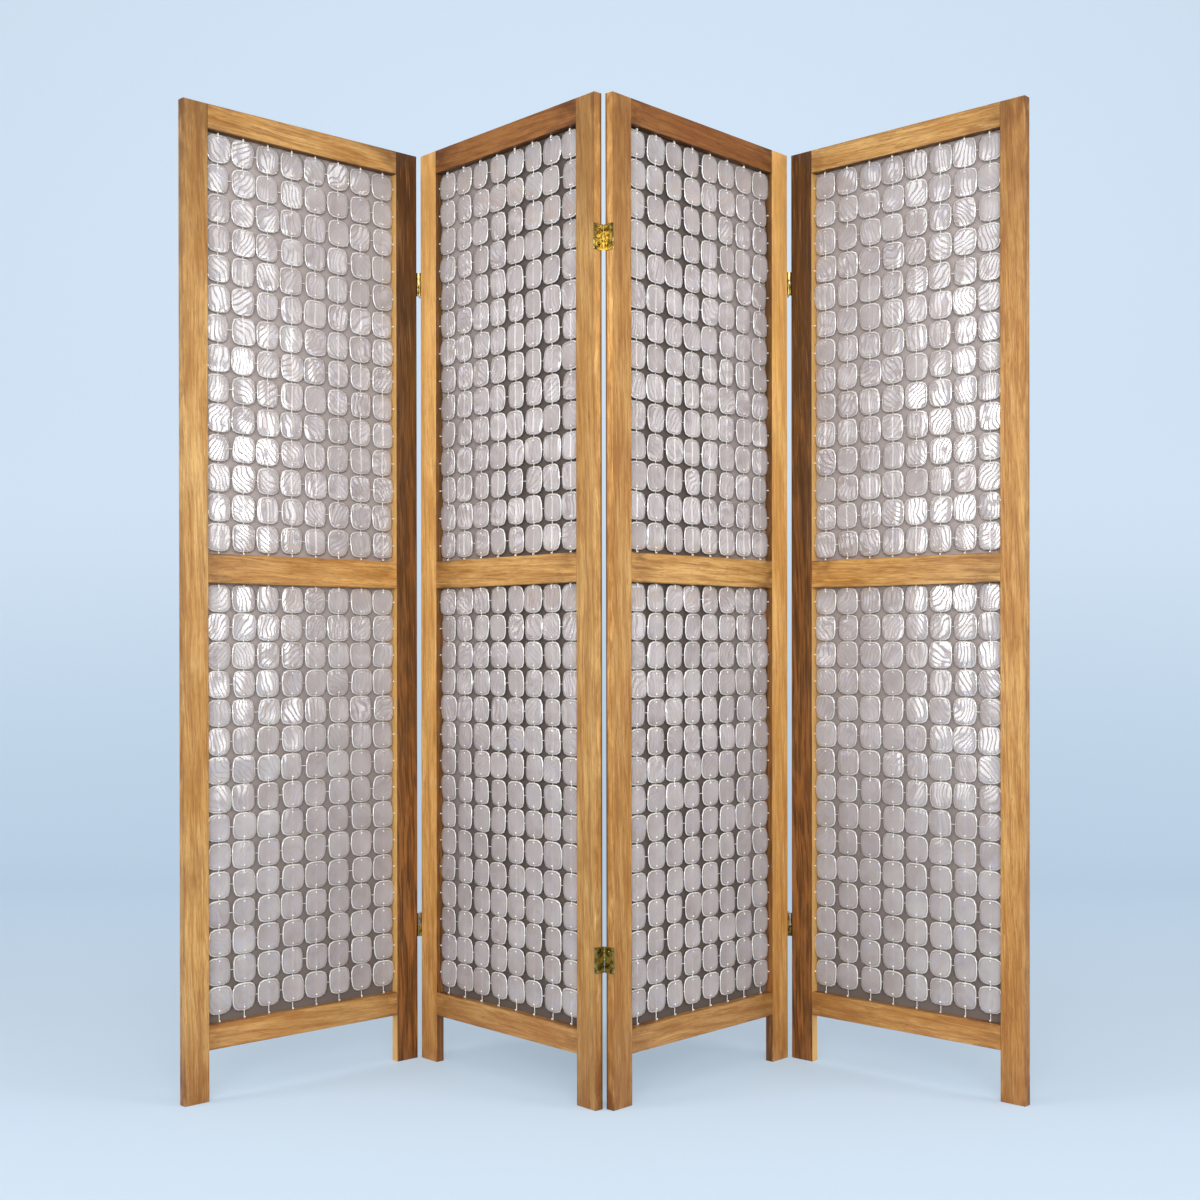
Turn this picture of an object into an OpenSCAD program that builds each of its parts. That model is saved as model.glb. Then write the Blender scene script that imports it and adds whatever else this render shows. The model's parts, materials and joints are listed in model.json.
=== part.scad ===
// Four-panel folding screen. Each panel is a wooden frame whose two openings
// are hung with columns of flat shells on threads, in front of a cloth.
// Neighbouring panels are joined by double-acting brass hinges.
// Rest pose: a zigzag. X runs along the screen, the front faces point to -Y
// and Z is up. The origin is the bottom centre of the whole screen's box.
// Sizes are in millimetres and angles in degrees.

/* [Panel frame] */
// Height of a panel, floor to top
panel_height = 1750; // [1400:1:2000]
// Width of a panel over both stiles
panel_width = 497; // [380:1:700]
// Thickness of the frame, front face to back face
panel_depth = 17; // [14:0.5:30]
// Face width of a stile
stile_width = 48; // [35:1:80]
// Height of the top rail
top_rail_height = 44; // [30:1:80]
// Height of the middle rail
middle_rail_height = 52; // [30:1:90]
// Height of the middle rail's top face above the floor
middle_rail_level = 962; // [800:1:1150]
// Height of the bottom rail
bottom_rail_height = 44; // [30:1:80]
// Height of the bottom rail's lower face above the floor
leg_height = 90; // [50:1:160]
// Length of the tenon on each rail end
tenon_length = 12; // [8:0.5:25]
// Thickness of a tenon
tenon_thickness = 6; // [4:0.5:10]
// Shoulder above and below a tenon
tenon_shoulder = 6; // [3:0.5:12]
// Clearance around a tenon in its mortise
tenon_clearance = 0.1; // [0.05:0.05:0.3]

/* [Rest pose] */
// Turn of the two inner panels from the X axis
inner_turn = 46.8; // [20:0.1:60]
// Turn of the two outer panels from the X axis
outer_turn = 42.8; // [20:0.1:60]

/* [Shells] */
// Width of a shell
shell_width = 46.6; // [30:0.1:70]
// Height of a shell
shell_height = 49.6; // [30:0.1:70]
// Radius of a shell's rounded corners
shell_corner = 16; // [8:0.5:20]
// Thickness of a shell
shell_thickness = 0.9; // [0.6:0.1:2]
// Depth of the shells' middle plane behind the frame's front face
shell_plane = 10.2; // [6:0.1:12]
// Smallest gap between two columns of shells
column_gap = 3.2; // [2.8:0.1:10]
// Gap between two shells of a column in an upper opening
upper_row_gap = 3.2; // [1.2:0.1:10]
// Gap between two shells of a column in a lower opening
lower_row_gap = 1.2; // [1.2:0.1:10]
// Gap between the top rail and the first shells
upper_first_gap = 2.7; // [1:0.1:20]
// Gap between the middle rail and the first shells below it
lower_first_gap = 1.2; // [1:0.1:20]
// Smallest gap left between the last shells and the rail below them
last_gap = 2.5; // [1:0.1:20]
// Radius of the two holes in a shell
shell_hole_radius = 1.2; // [0.8:0.1:2.5]
// Distance of a hole's centre from the shell's top or bottom edge
shell_hole_inset = 6.2; // [4:0.1:12]
// Greatest sideways shift of a shell on its thread
shell_shift = 1.1; // [0:0.1:1.2]
// Greatest turn of a shell in its own plane
shell_turn = 1.3; // [0:0.1:1.5]

/* [Threads] */
// Thickness of a hanging thread
thread_size = 0.6; // [0.4:0.1:1]
// Gap between the shells' back faces and the hanging threads
thread_gap = 0.15; // [0.1:0.05:0.5]
// Radius of a cross thread, which runs from stile to stile behind a row
cross_radius = 0.25; // [0.2:0.05:0.5]
// Gap between the hanging threads and the cross threads
cross_gap = 0.1; // [0.05:0.05:0.5]

/* [Backing cloth] */
// Thickness of the cloth
cloth_thickness = 0.6; // [0.4:0.1:0.8]
// Gap between the frame's back face and the cloth
cloth_gap = 0.3; // [0.1:0.1:0.5]
// Overlap of the cloth on the frame around the openings
cloth_lap = 14; // [6:1:30]

/* [Hinges] */
// Height of a hinge
hinge_height = 45; // [36:1:60]
// Height of the lower hinge's bottom above the floor
lower_hinge_level = 236; // [150:1:400]
// Height of the upper hinge's bottom above the floor
upper_hinge_level = 1479; // [1200:1:1550]
// Thickness of a hinge leaf
leaf_thickness = 1.1; // [0.9:0.1:1.6]
// Gap between two leaves lying on each other
leaf_gap = 0.3; // [0.2:0.05:0.5]
// Distance of the front pivots in front of the frame's front face
front_reach = 2.2; // [2:0.1:4]
// Distance of the back pivot behind the frame's back face
back_reach = 1.8; // [1.8:0.1:4]
// Distance of an outer leaf's back edge from the frame's back face
leaf_margin = 0.8; // [0.5:0.1:3]
// How much smaller a barrel is than two leaves and their gap
barrel_relief = 0.05; // [0.05:0.05:0.1]
// Gap along the axis between two knuckles
knuckle_gap = 0.2; // [0.1:0.05:0.4]
// Room between a leaf's cut edge and the next leaf's knuckle
knuckle_room = 0.35; // [0.3:0.05:0.6]
// Radius of a hinge pin
pin_radius = 0.6; // [0.5:0.05:0.7]
// Radial clearance of a pin in the knuckles
pin_clearance = 0.05; // [0.02:0.01:0.08]
// Height between the front pivots' barrels and the back pivot's barrel
barrel_split = 1; // [1:0.5:3]
// Radius of a screw head
screw_head_radius = 2.2; // [1.8:0.1:2.6]
// Radius of a screw's shank
screw_shank_radius = 1.1; // [0.9:0.1:1.4]
// Length of a screw
screw_length = 12; // [8:1:20]
// Clearance around a screw in its leaf and its pilot hole
screw_clearance = 0.05; // [0.05:0.01:0.1]
// Width of a screw's driver slot
slot_width = 0.6; // [0.4:0.1:0.9]
// Depth of a screw's driver slot
slot_depth = 0.45; // [0.3:0.05:0.6]
// Height of the lower screw above the hinge's bottom
lower_screw_level = 11; // [8:0.5:16]
// Distance of the upper screw below the hinge's top
upper_screw_drop = 7; // [5:0.5:12]
// Distance of the screws behind the frame's front face
screw_inset = 7.4; // [5:0.1:12]
// Room around a screw head in the holes of the centre leaves
driver_room = 0.7; // [0.4:0.1:1.2]

/* [Hidden] */
// A small overlap that makes two joined shapes one
joined = 0.01;
curve = 48;
// Height range of the two openings of a panel
upper_opening_top = panel_height - top_rail_height;
upper_opening_bottom = middle_rail_level;
lower_opening_top = middle_rail_level - middle_rail_height;
lower_opening_bottom = leg_height + bottom_rail_height;
opening_width = panel_width - 2 * stile_width;
// Shell grid
columns = floor(opening_width / (shell_width + column_gap));
column_pitch = opening_width / columns;
upper_pitch = shell_height + upper_row_gap;
lower_pitch = shell_height + lower_row_gap;
upper_space = upper_opening_top - upper_opening_bottom;
lower_space = lower_opening_top - lower_opening_bottom;
upper_free = upper_space - upper_first_gap - last_gap;
lower_free = lower_space - lower_first_gap - last_gap;
upper_rows = floor((upper_free + upper_row_gap) / upper_pitch);
lower_rows = floor((lower_free + lower_row_gap) / lower_pitch);
upper_first = upper_opening_top - upper_first_gap - shell_height / 2;
lower_first = lower_opening_top - lower_first_gap - shell_height / 2;
hole_level = shell_height / 2 - shell_hole_inset;
// Depths of the threads and of the cloth behind the front face
shell_back = shell_plane + shell_thickness / 2;
thread_front = shell_back + thread_gap;
thread_back = thread_front + thread_size;
cross_plane = thread_back + cross_gap + cross_radius;
cloth_front = panel_depth + cloth_gap;
// Hinge measures in a hinge's own frame: X = 0 is the middle of the closed
// hinge, Y = 0 is the frame's front face and Z = 0 is the hinge's bottom
half_gap = leaf_gap / 2;
half_stack = 2 * leaf_thickness + leaf_gap + half_gap;
front_offset = leaf_thickness + half_gap;
pivot_offset = leaf_thickness + leaf_gap;
front_axis = -front_reach;
back_axis = panel_depth + back_reach;
barrel_radius = leaf_thickness + half_gap - barrel_relief;
cut_radius = barrel_radius + knuckle_room;
bore_radius = pin_radius + pin_clearance;
barrel_height = (hinge_height - barrel_split) / 2;
back_barrel_level = barrel_height + barrel_split;
knuckle_height = (barrel_height - 4 * knuckle_gap) / 3;
knuckle_pitch = knuckle_height + knuckle_gap;
screw_levels = [lower_screw_level, hinge_height - upper_screw_drop];
hinge_levels = [lower_hinge_level, upper_hinge_level];
driver_radius = screw_head_radius + driver_room;
pilot_radius = screw_shank_radius + screw_clearance;
// Plan of the zigzag. The left half mirrors the right half.
inner_along = [cos(inner_turn), sin(inner_turn)];
inner_back = [-sin(inner_turn), cos(inner_turn)];
outer_along = [cos(outer_turn), -sin(outer_turn)];
outer_back = [sin(outer_turn), cos(outer_turn)];
side_turn = (inner_turn - outer_turn) / 2;
side_along = [cos(side_turn), sin(side_turn)];
side_back = [-sin(side_turn), cos(side_turn)];
start_3 = half_stack * inner_along - back_axis * inner_back;
end_3 = start_3 + panel_width * inner_along;
front_pivot_3 = end_3 + front_offset * inner_along + front_axis * inner_back;
side_hinge = front_pivot_3 + pivot_offset * side_along - front_axis * side_back;
front_pivot_4 = front_pivot_3 + 2 * pivot_offset * side_along;
start_4 = front_pivot_4 + front_offset * outer_along - front_axis * outer_back;
end_4 = start_4 + panel_width * outer_along;
// The plan is moved so that the whole screen's box is centred on the origin
front_knuckle = start_3 - front_offset * inner_along + front_axis * inner_back;
lowest_y = min(start_3[1], end_4[1], front_knuckle[1] - barrel_radius);
fin_end = side_hinge + back_axis * side_back;
highest_y = max(end_3[1] + panel_depth * inner_back[1], fin_end[1] + barrel_radius);
middle_y = (lowest_y + highest_y) / 2;

FRAME_NODES = [for (p = [1:4]) for (n = [
  "left_stile", "right_stile", "top_rail", "middle_rail", "bottom_rail",
  "upper_shells", "lower_shells", "threads", "backing_cloth",
  "hinge_leaves", "hinge_screws", "hinge_pins"
]) str("panel_", p, "_", n)];
FOLD_NODES = [for (f = ["1_2", "2_3", "3_4"]) for (n = [
  "left_centre_leaves", "right_centre_leaves", "centre_pins"
]) str("fold_", f, "_", n)];

// Places its children in the frame of a panel: X along the panel's width from
// its left edge, Y from the front face to the back and Z up
module at_panel(p) {
  start = p == 3 ? start_3
    : p == 4 ? start_4
    : p == 2 ? [-end_3[0], end_3[1]]
    : [-end_4[0], end_4[1]];
  turn = p == 1 ? outer_turn
    : p == 2 ? -inner_turn
    : p == 3 ? inner_turn
    : -outer_turn;
  translate([start[0], start[1] - middle_y, 0])
    rotate([0, 0, turn])
    children();
}

// Places its children in the frame of the closed hinges of an outer fold
module at_side_hinge(side) {
  translate([side * side_hinge[0], side_hinge[1] - middle_y, 0])
    rotate([0, 0, side * side_turn])
    children();
}

// Hinge frames on a panel's right edge and on its left edge
module at_right_edge() {
  translate([panel_width + half_stack, 0, 0])
    children();
}

module at_left_edge() {
  translate([-half_stack, 0, 0])
    mirror([1, 0, 0])
    children();
}

// Repeats its children for the lower and the upper hinge
module both_hinges() {
  for (level = hinge_levels)
    translate([0, 0, level])
      children();
}

// Timber of the frame
module tenon_solid(length, height, extra) {
  thickness = tenon_thickness + 2 * extra;
  translate([0, (panel_depth - thickness) / 2, tenon_shoulder - extra])
    cube([length, thickness, height - 2 * tenon_shoulder + 2 * extra]);
}

module rail(bottom, height) {
  color("#B8884C")
    translate([stile_width, 0, bottom])
    union() {
      cube([opening_width, panel_depth, height]);
      translate([-tenon_length, 0, 0])
        tenon_solid(tenon_length + joined, height, 0);
      translate([opening_width - joined, 0, 0])
        tenon_solid(tenon_length + joined, height, 0);
    }
}

// Pilot holes for the hinge screws, drilled into the edge at X = 0
module pilot_holes() {
  both_hinges()
    for (level = screw_levels)
      translate([-1, screw_inset, level])
        rotate([0, 90, 0])
        cylinder(h = screw_length + 2, r = pilot_radius, $fn = curve);
}

// A stile standing at X = 0 with its mortises in the face at stile_width
module stile(hinged) {
  depth = tenon_length + tenon_clearance;
  difference() {
    cube([stile_width, panel_depth, panel_height]);
    translate([stile_width - depth, 0, leg_height])
      tenon_solid(depth + 1, bottom_rail_height, tenon_clearance);
    translate([stile_width - depth, 0, lower_opening_top])
      tenon_solid(depth + 1, middle_rail_height, tenon_clearance);
    translate([stile_width - depth, 0, upper_opening_top])
      tenon_solid(depth + 1, top_rail_height, tenon_clearance);
    if (hinged)
      pilot_holes();
  }
}

module left_stile(p) {
  color("#B8884C")
    stile(p > 1);
}

module right_stile(p) {
  color("#B8884C")
    translate([panel_width, 0, 0])
    mirror([1, 0, 0])
    stile(p < 4);
}

// Shells. A shell keeps its holes on its thread, and its outline is shifted
// and turned a little, differently for each shell.
function sway(p, row, column) = sin(p * 97 + row * 151 + column * 223);
function swing(p, row, column) = sin(p * 61 + row * 211 + column * 137 + 40);

module shell_outline() {
  flat_width = shell_width - 2 * shell_corner;
  flat_height = shell_height - 2 * shell_corner;
  square([shell_width, flat_height], center = true);
  square([flat_width, shell_height], center = true);
  for (x = [-1, 1])
    for (z = [-1, 1])
      translate([x * flat_width / 2, z * flat_height / 2])
        circle(r = shell_corner, $fn = curve);
}

module shell(shift, turn) {
  translate([0, shell_back, 0])
    rotate([90, 0, 0])
    linear_extrude(height = shell_thickness)
    difference() {
      translate([shift, 0])
        rotate(turn)
        shell_outline();
      for (z = [-1, 1])
        translate([0, z * hole_level])
          circle(r = shell_hole_radius, $fn = curve);
    }
}

module shell_field(p, rows, first, pitch) {
  color("#CFC7C3")
    for (row = [0:rows - 1])
      for (column = [0:columns - 1])
        translate([
          stile_width + (column + 0.5) * column_pitch,
          0,
          first - row * pitch
        ])
          shell(
            shell_shift * sway(p, row, column),
            shell_turn * swing(p, row, column)
          );
}

// Threads. A hanging thread runs straight down behind its column of shells,
// from the rail above the opening to the rail below it.
module hanging_threads(bottom, top) {
  for (column = [0:columns - 1])
    translate([
      stile_width + (column + 0.5) * column_pitch - thread_size / 2,
      thread_front,
      bottom
    ])
      cube([thread_size, thread_size, top - bottom]);
}

module cross_threads(first, pitch, rows) {
  for (row = [0:rows - 1])
    translate([stile_width, cross_plane, first - row * pitch])
      rotate([0, 90, 0])
      cylinder(h = opening_width, r = cross_radius, $fn = curve);
}

module threads() {
  color("#E6E2DC") {
    hanging_threads(upper_opening_bottom, upper_opening_top);
    hanging_threads(lower_opening_bottom, lower_opening_top);
    cross_threads(upper_first, upper_pitch, upper_rows);
    cross_threads(lower_first, lower_pitch, lower_rows);
  }
}

// The cloth lies flat behind both openings
module backing_cloth() {
  color("#9C908B")
    translate([
      stile_width - cloth_lap,
      cloth_front,
      lower_opening_bottom - cloth_lap
    ])
    cube([
      opening_width + 2 * cloth_lap,
      cloth_thickness,
      upper_opening_top - lower_opening_bottom + 2 * cloth_lap
    ]);
}

// Hinge parts, drawn for the left side of a hinge in the hinge's own frame
module knuckle(axis_x, axis_y, index) {
  translate([axis_x, axis_y, knuckle_gap + index * knuckle_pitch])
    cylinder(h = knuckle_height, r = barrel_radius, $fn = curve);
}

// The strip of a leaf that carries a knuckle
module knuckle_arm(leaf_x, from_y, to_y, index) {
  translate([leaf_x, from_y, knuckle_gap + index * knuckle_pitch])
    cube([leaf_thickness, to_y - from_y, knuckle_height]);
}

module pin_bore(axis_x, axis_y) {
  translate([axis_x, axis_y, -1])
    cylinder(h = barrel_height + 2, r = bore_radius, $fn = curve);
}

module outer_leaf() {
  leaf_x = -half_stack;
  cut_y = front_axis + cut_radius;
  leaf_end = panel_depth - leaf_margin;
  difference() {
    union() {
      translate([leaf_x, cut_y, 0])
        cube([leaf_thickness, leaf_end - cut_y, hinge_height]);
      translate([leaf_x, front_axis + 2 * barrel_relief, back_barrel_level])
        cube([leaf_thickness, cut_radius, hinge_height - back_barrel_level]);
      for (index = [0, 2]) {
        knuckle_arm(leaf_x, front_axis, cut_y + joined, index);
        knuckle(-pivot_offset, front_axis, index);
      }
    }
    pin_bore(-pivot_offset, front_axis);
    for (level = screw_levels)
      translate([leaf_x, screw_inset, level])
        rotate([0, 90, 0])
        screw_space();
  }
}

module screw_space() {
  head = screw_head_radius + screw_clearance;
  translate([0, 0, -1])
    cylinder(h = leaf_thickness + 2, r = pilot_radius, $fn = curve);
  cylinder(h = leaf_thickness, r1 = pilot_radius, r2 = head, $fn = curve);
  translate([0, 0, leaf_thickness - joined])
    cylinder(h = 1, r = head, $fn = curve);
}

module centre_leaf(back_knuckles) {
  leaf_x = -half_gap - leaf_thickness;
  cut_y = front_axis + cut_radius;
  back_cut_y = back_axis - cut_radius;
  difference() {
    union() {
      translate([leaf_x, cut_y, 0])
        cube([leaf_thickness, back_cut_y - cut_y, hinge_height]);
      translate([leaf_x, front_axis + 2 * barrel_relief, back_barrel_level])
        cube([leaf_thickness, cut_radius, hinge_height - back_barrel_level]);
      translate([leaf_x, back_cut_y - joined, 0])
        cube([leaf_thickness, cut_radius - 2 * barrel_relief, barrel_height]);
      knuckle_arm(leaf_x, front_axis, cut_y + joined, 1);
      knuckle(-pivot_offset, front_axis, 1);
      translate([0, 0, back_barrel_level])
        for (index = back_knuckles) {
          knuckle_arm(leaf_x, back_cut_y - joined, back_axis, index);
          knuckle(0, back_axis, index);
        }
    }
    pin_bore(-pivot_offset, front_axis);
    translate([0, 0, back_barrel_level])
      pin_bore(0, back_axis);
    for (level = screw_levels)
      translate([leaf_x - 1, screw_inset, level])
        rotate([0, 90, 0])
        cylinder(h = leaf_thickness + 2, r = driver_radius, $fn = curve);
  }
}

module pin(axis_x, axis_y) {
  translate([axis_x, axis_y, knuckle_gap])
    cylinder(h = barrel_height - 2 * knuckle_gap, r = pin_radius, $fn = curve);
}

// A countersunk screw with its head's face at X = 0, pointing along -X
module screw() {
  rotate([0, -90, 0])
    difference() {
      union() {
        cylinder(
          h = leaf_thickness,
          r1 = screw_head_radius,
          r2 = screw_shank_radius,
          $fn = curve
        );
        cylinder(h = screw_length, r = screw_shank_radius, $fn = curve);
      }
      translate([-slot_width / 2, -screw_head_radius - 1, -1])
        cube([slot_width, 2 * screw_head_radius + 2, slot_depth + 1]);
    }
}

module edge_screws() {
  for (level = screw_levels)
    translate([-half_stack + leaf_thickness, screw_inset, level])
      screw();
}

module hinge_leaves(p) {
  color("#B08D3C") {
    if (p < 4)
      at_right_edge()
        both_hinges()
        outer_leaf();
    if (p > 1)
      at_left_edge()
        both_hinges()
        outer_leaf();
  }
}

module hinge_screws(p) {
  color("#C9A650") {
    if (p < 4)
      at_right_edge()
        both_hinges()
        edge_screws();
    if (p > 1)
      at_left_edge()
        both_hinges()
        edge_screws();
  }
}

module hinge_pins(p) {
  color("#C9A650") {
    if (p < 4)
      at_right_edge()
        both_hinges()
        pin(-pivot_offset, front_axis);
    if (p > 1)
      at_left_edge()
        both_hinges()
        pin(-pivot_offset, front_axis);
  }
}

// Centre leaves of a fold. In the middle fold each one lies on its panel's
// edge, and in the outer folds the two lie on each other.
module left_centre_leaves(fold) {
  color("#B08D3C")
    if (fold == 2)
      at_panel(2)
        at_right_edge()
        both_hinges()
        centre_leaf([0, 2]);
    else
      at_side_hinge(fold - 2)
        both_hinges()
        centre_leaf([0, 2]);
}

module right_centre_leaves(fold) {
  color("#B08D3C")
    if (fold == 2)
      at_panel(3)
        at_left_edge()
        both_hinges()
        centre_leaf([1]);
    else
      at_side_hinge(fold - 2)
        both_hinges()
        mirror([1, 0, 0])
        centre_leaf([1]);
}

module back_pins() {
  both_hinges()
    translate([0, 0, back_barrel_level])
    pin(0, back_axis);
}

module centre_pins(fold) {
  color("#C9A650")
    if (fold == 2)
      at_panel(2)
        at_right_edge()
        back_pins();
    else
      at_side_hinge(fold - 2)
        back_pins();
}

for (p = [1:4]) {
  at_panel(p) left_stile(p);
  at_panel(p) right_stile(p);
  at_panel(p) rail(upper_opening_top, top_rail_height);
  at_panel(p) rail(lower_opening_top, middle_rail_height);
  at_panel(p) rail(leg_height, bottom_rail_height);
  at_panel(p) shell_field(p, upper_rows, upper_first, upper_pitch);
  at_panel(p) shell_field(p + 4, lower_rows, lower_first, lower_pitch);
  at_panel(p) threads();
  at_panel(p) backing_cloth();
  at_panel(p) hinge_leaves(p);
  at_panel(p) hinge_screws(p);
  at_panel(p) hinge_pins(p);
}
for (fold = [1:3]) {
  name = str("fold_", fold, "_", fold + 1, "_");
  left_centre_leaves(fold);
  right_centre_leaves(fold);
  centre_pins(fold);
}
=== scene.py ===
"""Looks of a four-panel folding screen hung with shells, round its CAD model.

Lengths are in metres. The screen stands in its zigzag rest pose: X runs along
it, its front faces point to -Y and Z is up. A panel's own frame has X along
the panel's width from its left edge, Y from its front face to its back, Z up.
Colours have parts of 0 to 255. A span gives where a mask begins and where it is
full.
"""

import json
import logging
import math
import random
from collections.abc import Iterable, Sequence
from dataclasses import dataclass
from enum import Enum
from typing import Any

import bmesh
import bpy
from bpy.types import Material, Mesh, NodeTree, Object
from mathutils import Matrix, Vector

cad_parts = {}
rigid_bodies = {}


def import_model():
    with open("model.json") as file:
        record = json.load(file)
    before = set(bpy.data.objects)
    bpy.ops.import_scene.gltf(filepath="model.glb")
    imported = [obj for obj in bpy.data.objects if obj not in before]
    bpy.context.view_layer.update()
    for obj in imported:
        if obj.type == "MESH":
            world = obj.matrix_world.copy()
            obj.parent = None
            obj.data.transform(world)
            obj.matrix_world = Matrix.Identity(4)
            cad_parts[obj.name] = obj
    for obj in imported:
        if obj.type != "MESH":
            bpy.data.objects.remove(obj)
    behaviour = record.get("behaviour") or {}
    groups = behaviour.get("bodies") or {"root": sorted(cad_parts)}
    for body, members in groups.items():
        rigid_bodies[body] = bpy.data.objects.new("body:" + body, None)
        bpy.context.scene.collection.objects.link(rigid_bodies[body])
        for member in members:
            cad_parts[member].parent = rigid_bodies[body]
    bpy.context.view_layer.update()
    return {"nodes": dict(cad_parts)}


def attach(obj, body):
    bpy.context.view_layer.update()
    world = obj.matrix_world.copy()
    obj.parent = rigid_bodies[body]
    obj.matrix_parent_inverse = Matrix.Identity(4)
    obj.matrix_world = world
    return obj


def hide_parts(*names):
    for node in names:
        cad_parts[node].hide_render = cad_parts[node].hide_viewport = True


LOG = logging.getLogger("shell_screen")
Triple = tuple[float, float, float]
Colour = Triple
Span = tuple[float, float]
Inputs = dict[int | str, Any]
ON_FACE = 0.0004
ON_EDGE = 1e-5
WELD = 1e-6


def linear(colour: Colour) -> tuple[float, float, float, float]:
    """Turns a colour into the linear colour with an alpha that a node takes."""

    def part(value: float) -> float:
        share = value / 255
        return share / 12.92 if share <= 0.04045 else ((share + 0.055) / 1.055) ** 2.4

    return (*(part(value) for value in colour), 1.0)


class NodeSketch:
    """A shader tree or geometry tree under construction."""

    def __init__(self, tree: NodeTree) -> None:
        """Starts from an empty tree."""
        self.tree = tree
        self.tree.nodes.clear()

    def add(self, kind: str, inputs: Inputs | None = None, **settings: Any) -> bpy.types.Node:
        """Adds a node, sets its properties and feeds its inputs.

        Args:
            kind: Type name of the node.
            inputs: Socket number or name to a value or to another node's wire.
            **settings: Properties of the node, set before its inputs.

        Returns:
            The new node.
        """
        node = self.tree.nodes.new(kind)
        for name, value in settings.items():
            setattr(node, name, value)
        for key, value in (inputs or {}).items():
            named = [one for one in node.inputs if one.name == key] or [node.inputs[key]]
            socket = next((one for one in named if one.enabled), named[0])
            if isinstance(value, Wire):
                self.tree.links.new(value.socket, socket)
            else:
                socket.default_value = value
        return node

    def out(
        self, kind: str, inputs: Inputs | None = None, pick: int | str = "", **settings: Any
    ) -> "Wire":
        """Adds a node and returns one of its outputs, or else the first in use."""
        outputs = self.add(kind, inputs, **settings).outputs
        first = next(one for one in outputs if one.enabled)
        return Wire(self, first if pick == "" else outputs[pick])


@dataclass(frozen=True)
class Wire:
    """A node's output, which arithmetic joins with others by new nodes."""

    sketch: NodeSketch
    socket: bpy.types.NodeSocket

    def maths(self, operation: str, other: Any = 0.0) -> "Wire":
        """Joins two numbers by the named operation."""
        return self.sketch.out("ShaderNodeMath", {0: self, 1: other}, operation=operation)

    def __add__(self, other: Any) -> "Wire":
        """Adds a number."""
        return self.maths("ADD", other)

    def __sub__(self, other: Any) -> "Wire":
        """Takes a number away."""
        return self.maths("SUBTRACT", other)

    def __mul__(self, other: Any) -> "Wire":
        """Multiplies by a number."""
        return self.maths("MULTIPLY", other)

    def __getitem__(self, index: int) -> "Wire":
        """Takes one part of a vector."""
        return self.sketch.out("ShaderNodeSeparateXYZ", {0: self}, pick=index)

    def vector(self, operation: str, other: Any, key: int | str = 1) -> "Wire":
        """Joins a vector with another, or with a number, by the named operation."""
        inputs = {0: self, key: other}
        return self.sketch.out("ShaderNodeVectorMath", inputs, operation=operation)

    def shift(self, other: Any) -> "Wire":
        """Adds two vectors."""
        return self.vector("ADD", other)

    def stretch(self, factors: Triple) -> "Wire":
        """Multiplies a vector part by part."""
        return self.vector("MULTIPLY", factors)

    def scale(self, factor: Any) -> "Wire":
        """Multiplies a vector by a number."""
        return self.vector("SCALE", factor, "Scale")

    def step(self, low: float, high: float) -> "Wire":
        """Maps a number from low..high to 0..1, smoothly and clamped."""
        inputs = {"Value": self, "From Min": low, "From Max": high}
        return self.sketch.out("ShaderNodeMapRange", inputs, interpolation_type="SMOOTHSTEP")

    def noise(self, scale: float | Triple, detail: float = 2.0, rough: float = 0.5) -> "Wire":
        """Reads a noise at this place.

        Args:
            scale: Its scale, or its scale along each axis.
            detail: How many finer layers it has.
            rough: How strong the finer layers are.

        Returns:
            Its factor.
        """
        if isinstance(scale, tuple):
            return self.stretch(scale).noise(1.0, detail, rough)
        inputs = {"Vector": self, "Scale": scale, "Detail": detail, "Roughness": rough}
        return self.sketch.out("ShaderNodeTexNoise", inputs, pick=0)

    def swirl(self, scale: float, detail: float) -> "Wire":
        """Reads a noise of three parts at this place."""
        inputs = {"Vector": self, "Scale": scale, "Detail": detail}
        return self.sketch.out("ShaderNodeTexNoise", inputs, pick=1)

    def wave(self, scale: float, ripple: Sequence[float] = (), **settings: Any) -> "Wire":
        """Reads a wave at this place.

        Args:
            scale: Its scale.
            ripple: Its distortion, and the distortion's detail, scale and roughness.
            **settings: Its type, direction and profile.

        Returns:
            Its factor.
        """
        names = ("Distortion", "Detail", "Detail Scale", "Detail Roughness")
        inputs = {"Vector": self, "Scale": scale, **dict(zip(names, ripple))}
        return self.sketch.out("ShaderNodeTexWave", inputs, pick=1, **settings)

    def mix(self, share: Any, other: Any, blend: str = "MIX") -> "Wire":
        """Lays a share of another colour over this one."""
        second = linear(other) if isinstance(other, tuple) else other
        inputs = {0: share, 6: self, 7: second}
        return self.sketch.out("ShaderNodeMix", inputs, 2, data_type="RGBA", blend_type=blend)

    def bump(self, strength: float, distance: float) -> "Wire":
        """Turns a height into a normal."""
        inputs = {"Height": self, "Strength": strength, "Distance": distance}
        return self.sketch.out("ShaderNodeBump", inputs)


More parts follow.
